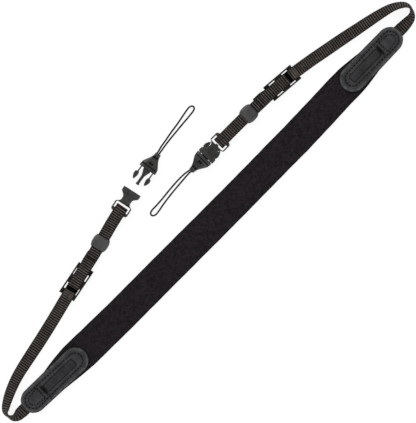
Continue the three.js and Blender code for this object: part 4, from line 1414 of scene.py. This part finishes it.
# %% The cap, tongue and arms
def turned(outline, hand):
    """An outline on one hand or mirrored to the other, counter-clockwise: the sum of the
    cross products of neighbouring points is twice its area, above 0 that way round."""
    line = np.array(outline) * [1, hand]
    x, y = line.T
    area = np.sum(x * np.roll(y, -1) - y * np.roll(x, -1)) / 2
    return line if area > 0 else line[::-1]


def cap_surface():
    """Sections of the cap's table along X, with both ends drawn in over a small radius. The
    face sinks by a bell-shaped groove and by pits, each depth exp(-(distance / size)^2).
    Painted shade darkens the groove, the pits and the open end where the cap meets the socket."""
    table = even_steps(np.array(CAP_ROWS), 0.22)
    table = soften(table, 3.0)
    x, half, low, high = table.T
    ends = np.clip(np.minimum(x - x[0], x[-1] - x) / CAP_ROUND, 0, 1)
    pull = CAP_ROUND * (1 - np.sqrt(1 - (1 - ends) ** 2))
    place, width, depth = SHOULDER_GROOVE
    groove = depth * np.exp(-(((x - place) / width) ** 2))
    sections = section(half - pull - 0.6 * groove, low + pull, high - pull, 0.5, sides=112)
    y, z = sections[:, :, 0], sections[:, :, 1]
    upper = z > ((low + high) / 2)[:, None]
    sink = groove[:, None] * upper
    # painted shade at the open end and in the shoulder groove
    shoulder = np.clip((x - x[0]) / SHOULDER_EDGE, 0.1, 1)
    shade = np.broadcast_to((shoulder * (1 - 0.95 * groove / depth))[:, None], y.shape)
    for pit_x, size, pit_depth in PITS:
        away = (x[:, None] - pit_x) ** 2 + (np.abs(y) - PIT_APART) ** 2
        pit = np.exp(-((away / size**2) ** 1.5)) * upper
        sink = sink + pit_depth * pit
        # painted shade in each pit
        shade = np.minimum(shade, 1 - pit)
    points = np.stack([np.broadcast_to(x[:, None], y.shape), y, z - sink], axis=2)
    return grid(points, shade=shade, close_columns=True, caps=True)


def prong_surfaces():
    """Cap, tongue with two raised ribs, and on each side an arm whose head has a raised rim."""
    guide = rounded(mirrored(TONGUE_ROWS), 0.25)
    made = [cap_surface(), plate(guide, TONGUE["low"], TONGUE["high"], 0.3)]
    for hand in (1, -1):
        rib, barb, head = (
            rounded(turned(outline, hand), 0.25) for outline in (RIB, BARB, BARB[BARB_HEAD])
        )
        made.append(plate(rib, TONGUE["high"] - 0.2, TONGUE["ribs_high"], 0.15))
        made.append(plate(barb, BARB_RIM["low"], BARB_RIM["floor"], 0.25))
        inside = drawn_in(head, BARB_RIM["wide"])
        made.append(open_plate(head, inside, BARB_RIM["floor"] - 0.2, BARB_RIM["top"], 0.2))
    return made


# %% The loose half, and the one in its socket
JOINT_GAP = 0.4
LOOSE_PRONG = {"spot": (-7.9, 69.5), "turn": math.radians(9.5)}
mouth = ALONG["buckle"] + SOCKET["length"] + JOINT_GAP
PRONGS = {
    "left": (LOOSE_PRONG["spot"], LOOSE_PRONG["turn"]),
    "right": (where("right", mouth)[0], where("right", ALONG["buckle"])[1]),
}
for side, (spot, turn) in PRONGS.items():
    parts = [placed(part, spot, turn) for part in prong_surfaces()]
    slot_name = "moulded_plastic"
    piece(f"prong_{side}_half", parts, finishes[slot_name], [f"prong_{side}"])

# %% [markdown]
# ## Table and light
# A plain white light table, much larger than the view, and broad soft light. The table
# glows, so that the shadows on it are faint and the slits in the sliders show white. Two
# wide suns light the strap evenly from end to end, and a dim white world fills in. The suns
# stand well off the vertical, so flat black faces stay black and only curved rims shine.

# %% Floor
FLOOR_HALF = 4.0
TABLE_GLOW = 0.9
floor_mesh = bpy.data.meshes.new("table_top")
floor_corners = FLOOR_HALF * np.array([(-1, -1, 0), (1, -1, 0), (1, 1, 0), (-1, 1, 0)], float)
floor_mesh.from_pydata(floor_corners, [], [(0, 1, 2, 3)])
floor = bpy.data.objects.new("table_top", floor_mesh)
bpy.context.scene.collection.objects.link(floor)
paper, paper_tree, paper_shader, paper_at, _, _, _ = start_finish("white_table", specular=0.0)
paper_tone = use(
    paper_tree,
    uneven_tone,
    {"Vector": paper_at, "Patches": 40.0, "Dark": grey(0.10), "Light": grey(0.11)},
)
paper_tree.links.new(paper_tone["Color"], paper_shader.inputs["Base Color"])
paper_shader.inputs["Roughness"].default_value = 0.9
paper_shader.inputs["Emission Color"].default_value = (1.0, 1.0, 1.0, 1.0)
paper_shader.inputs["Emission Strength"].default_value = TABLE_GLOW
floor_mesh.materials.append(paper)

# %% Lights
ROOM_LIGHT = 0.55
SUNS = {
    "key": {"strength": 1.7, "angle": 50, "tilt": 48, "from": 165},
    "fill": {"strength": 1.2, "angle": 70, "tilt": 52, "from": -20},
}
for name, sun in SUNS.items():
    light = bpy.data.lights.new(name, "SUN")
    light.energy = sun["strength"]
    light.angle = math.radians(sun["angle"])
    lamp = bpy.data.objects.new(name, light)
    lamp.rotation_euler = (math.radians(sun["tilt"]), 0, math.radians(sun["from"]))
    bpy.context.scene.collection.objects.link(lamp)

world = bpy.data.worlds.new("soft_room")
world.use_nodes = True
world.node_tree.nodes["Background"].inputs["Color"].default_value = (1.0, 1.0, 1.0, 1.0)
world.node_tree.nodes["Background"].inputs["Strength"].default_value = ROOM_LIGHT
bpy.context.scene.world = world
bpy.context.scene.view_settings.view_transform = "Standard"
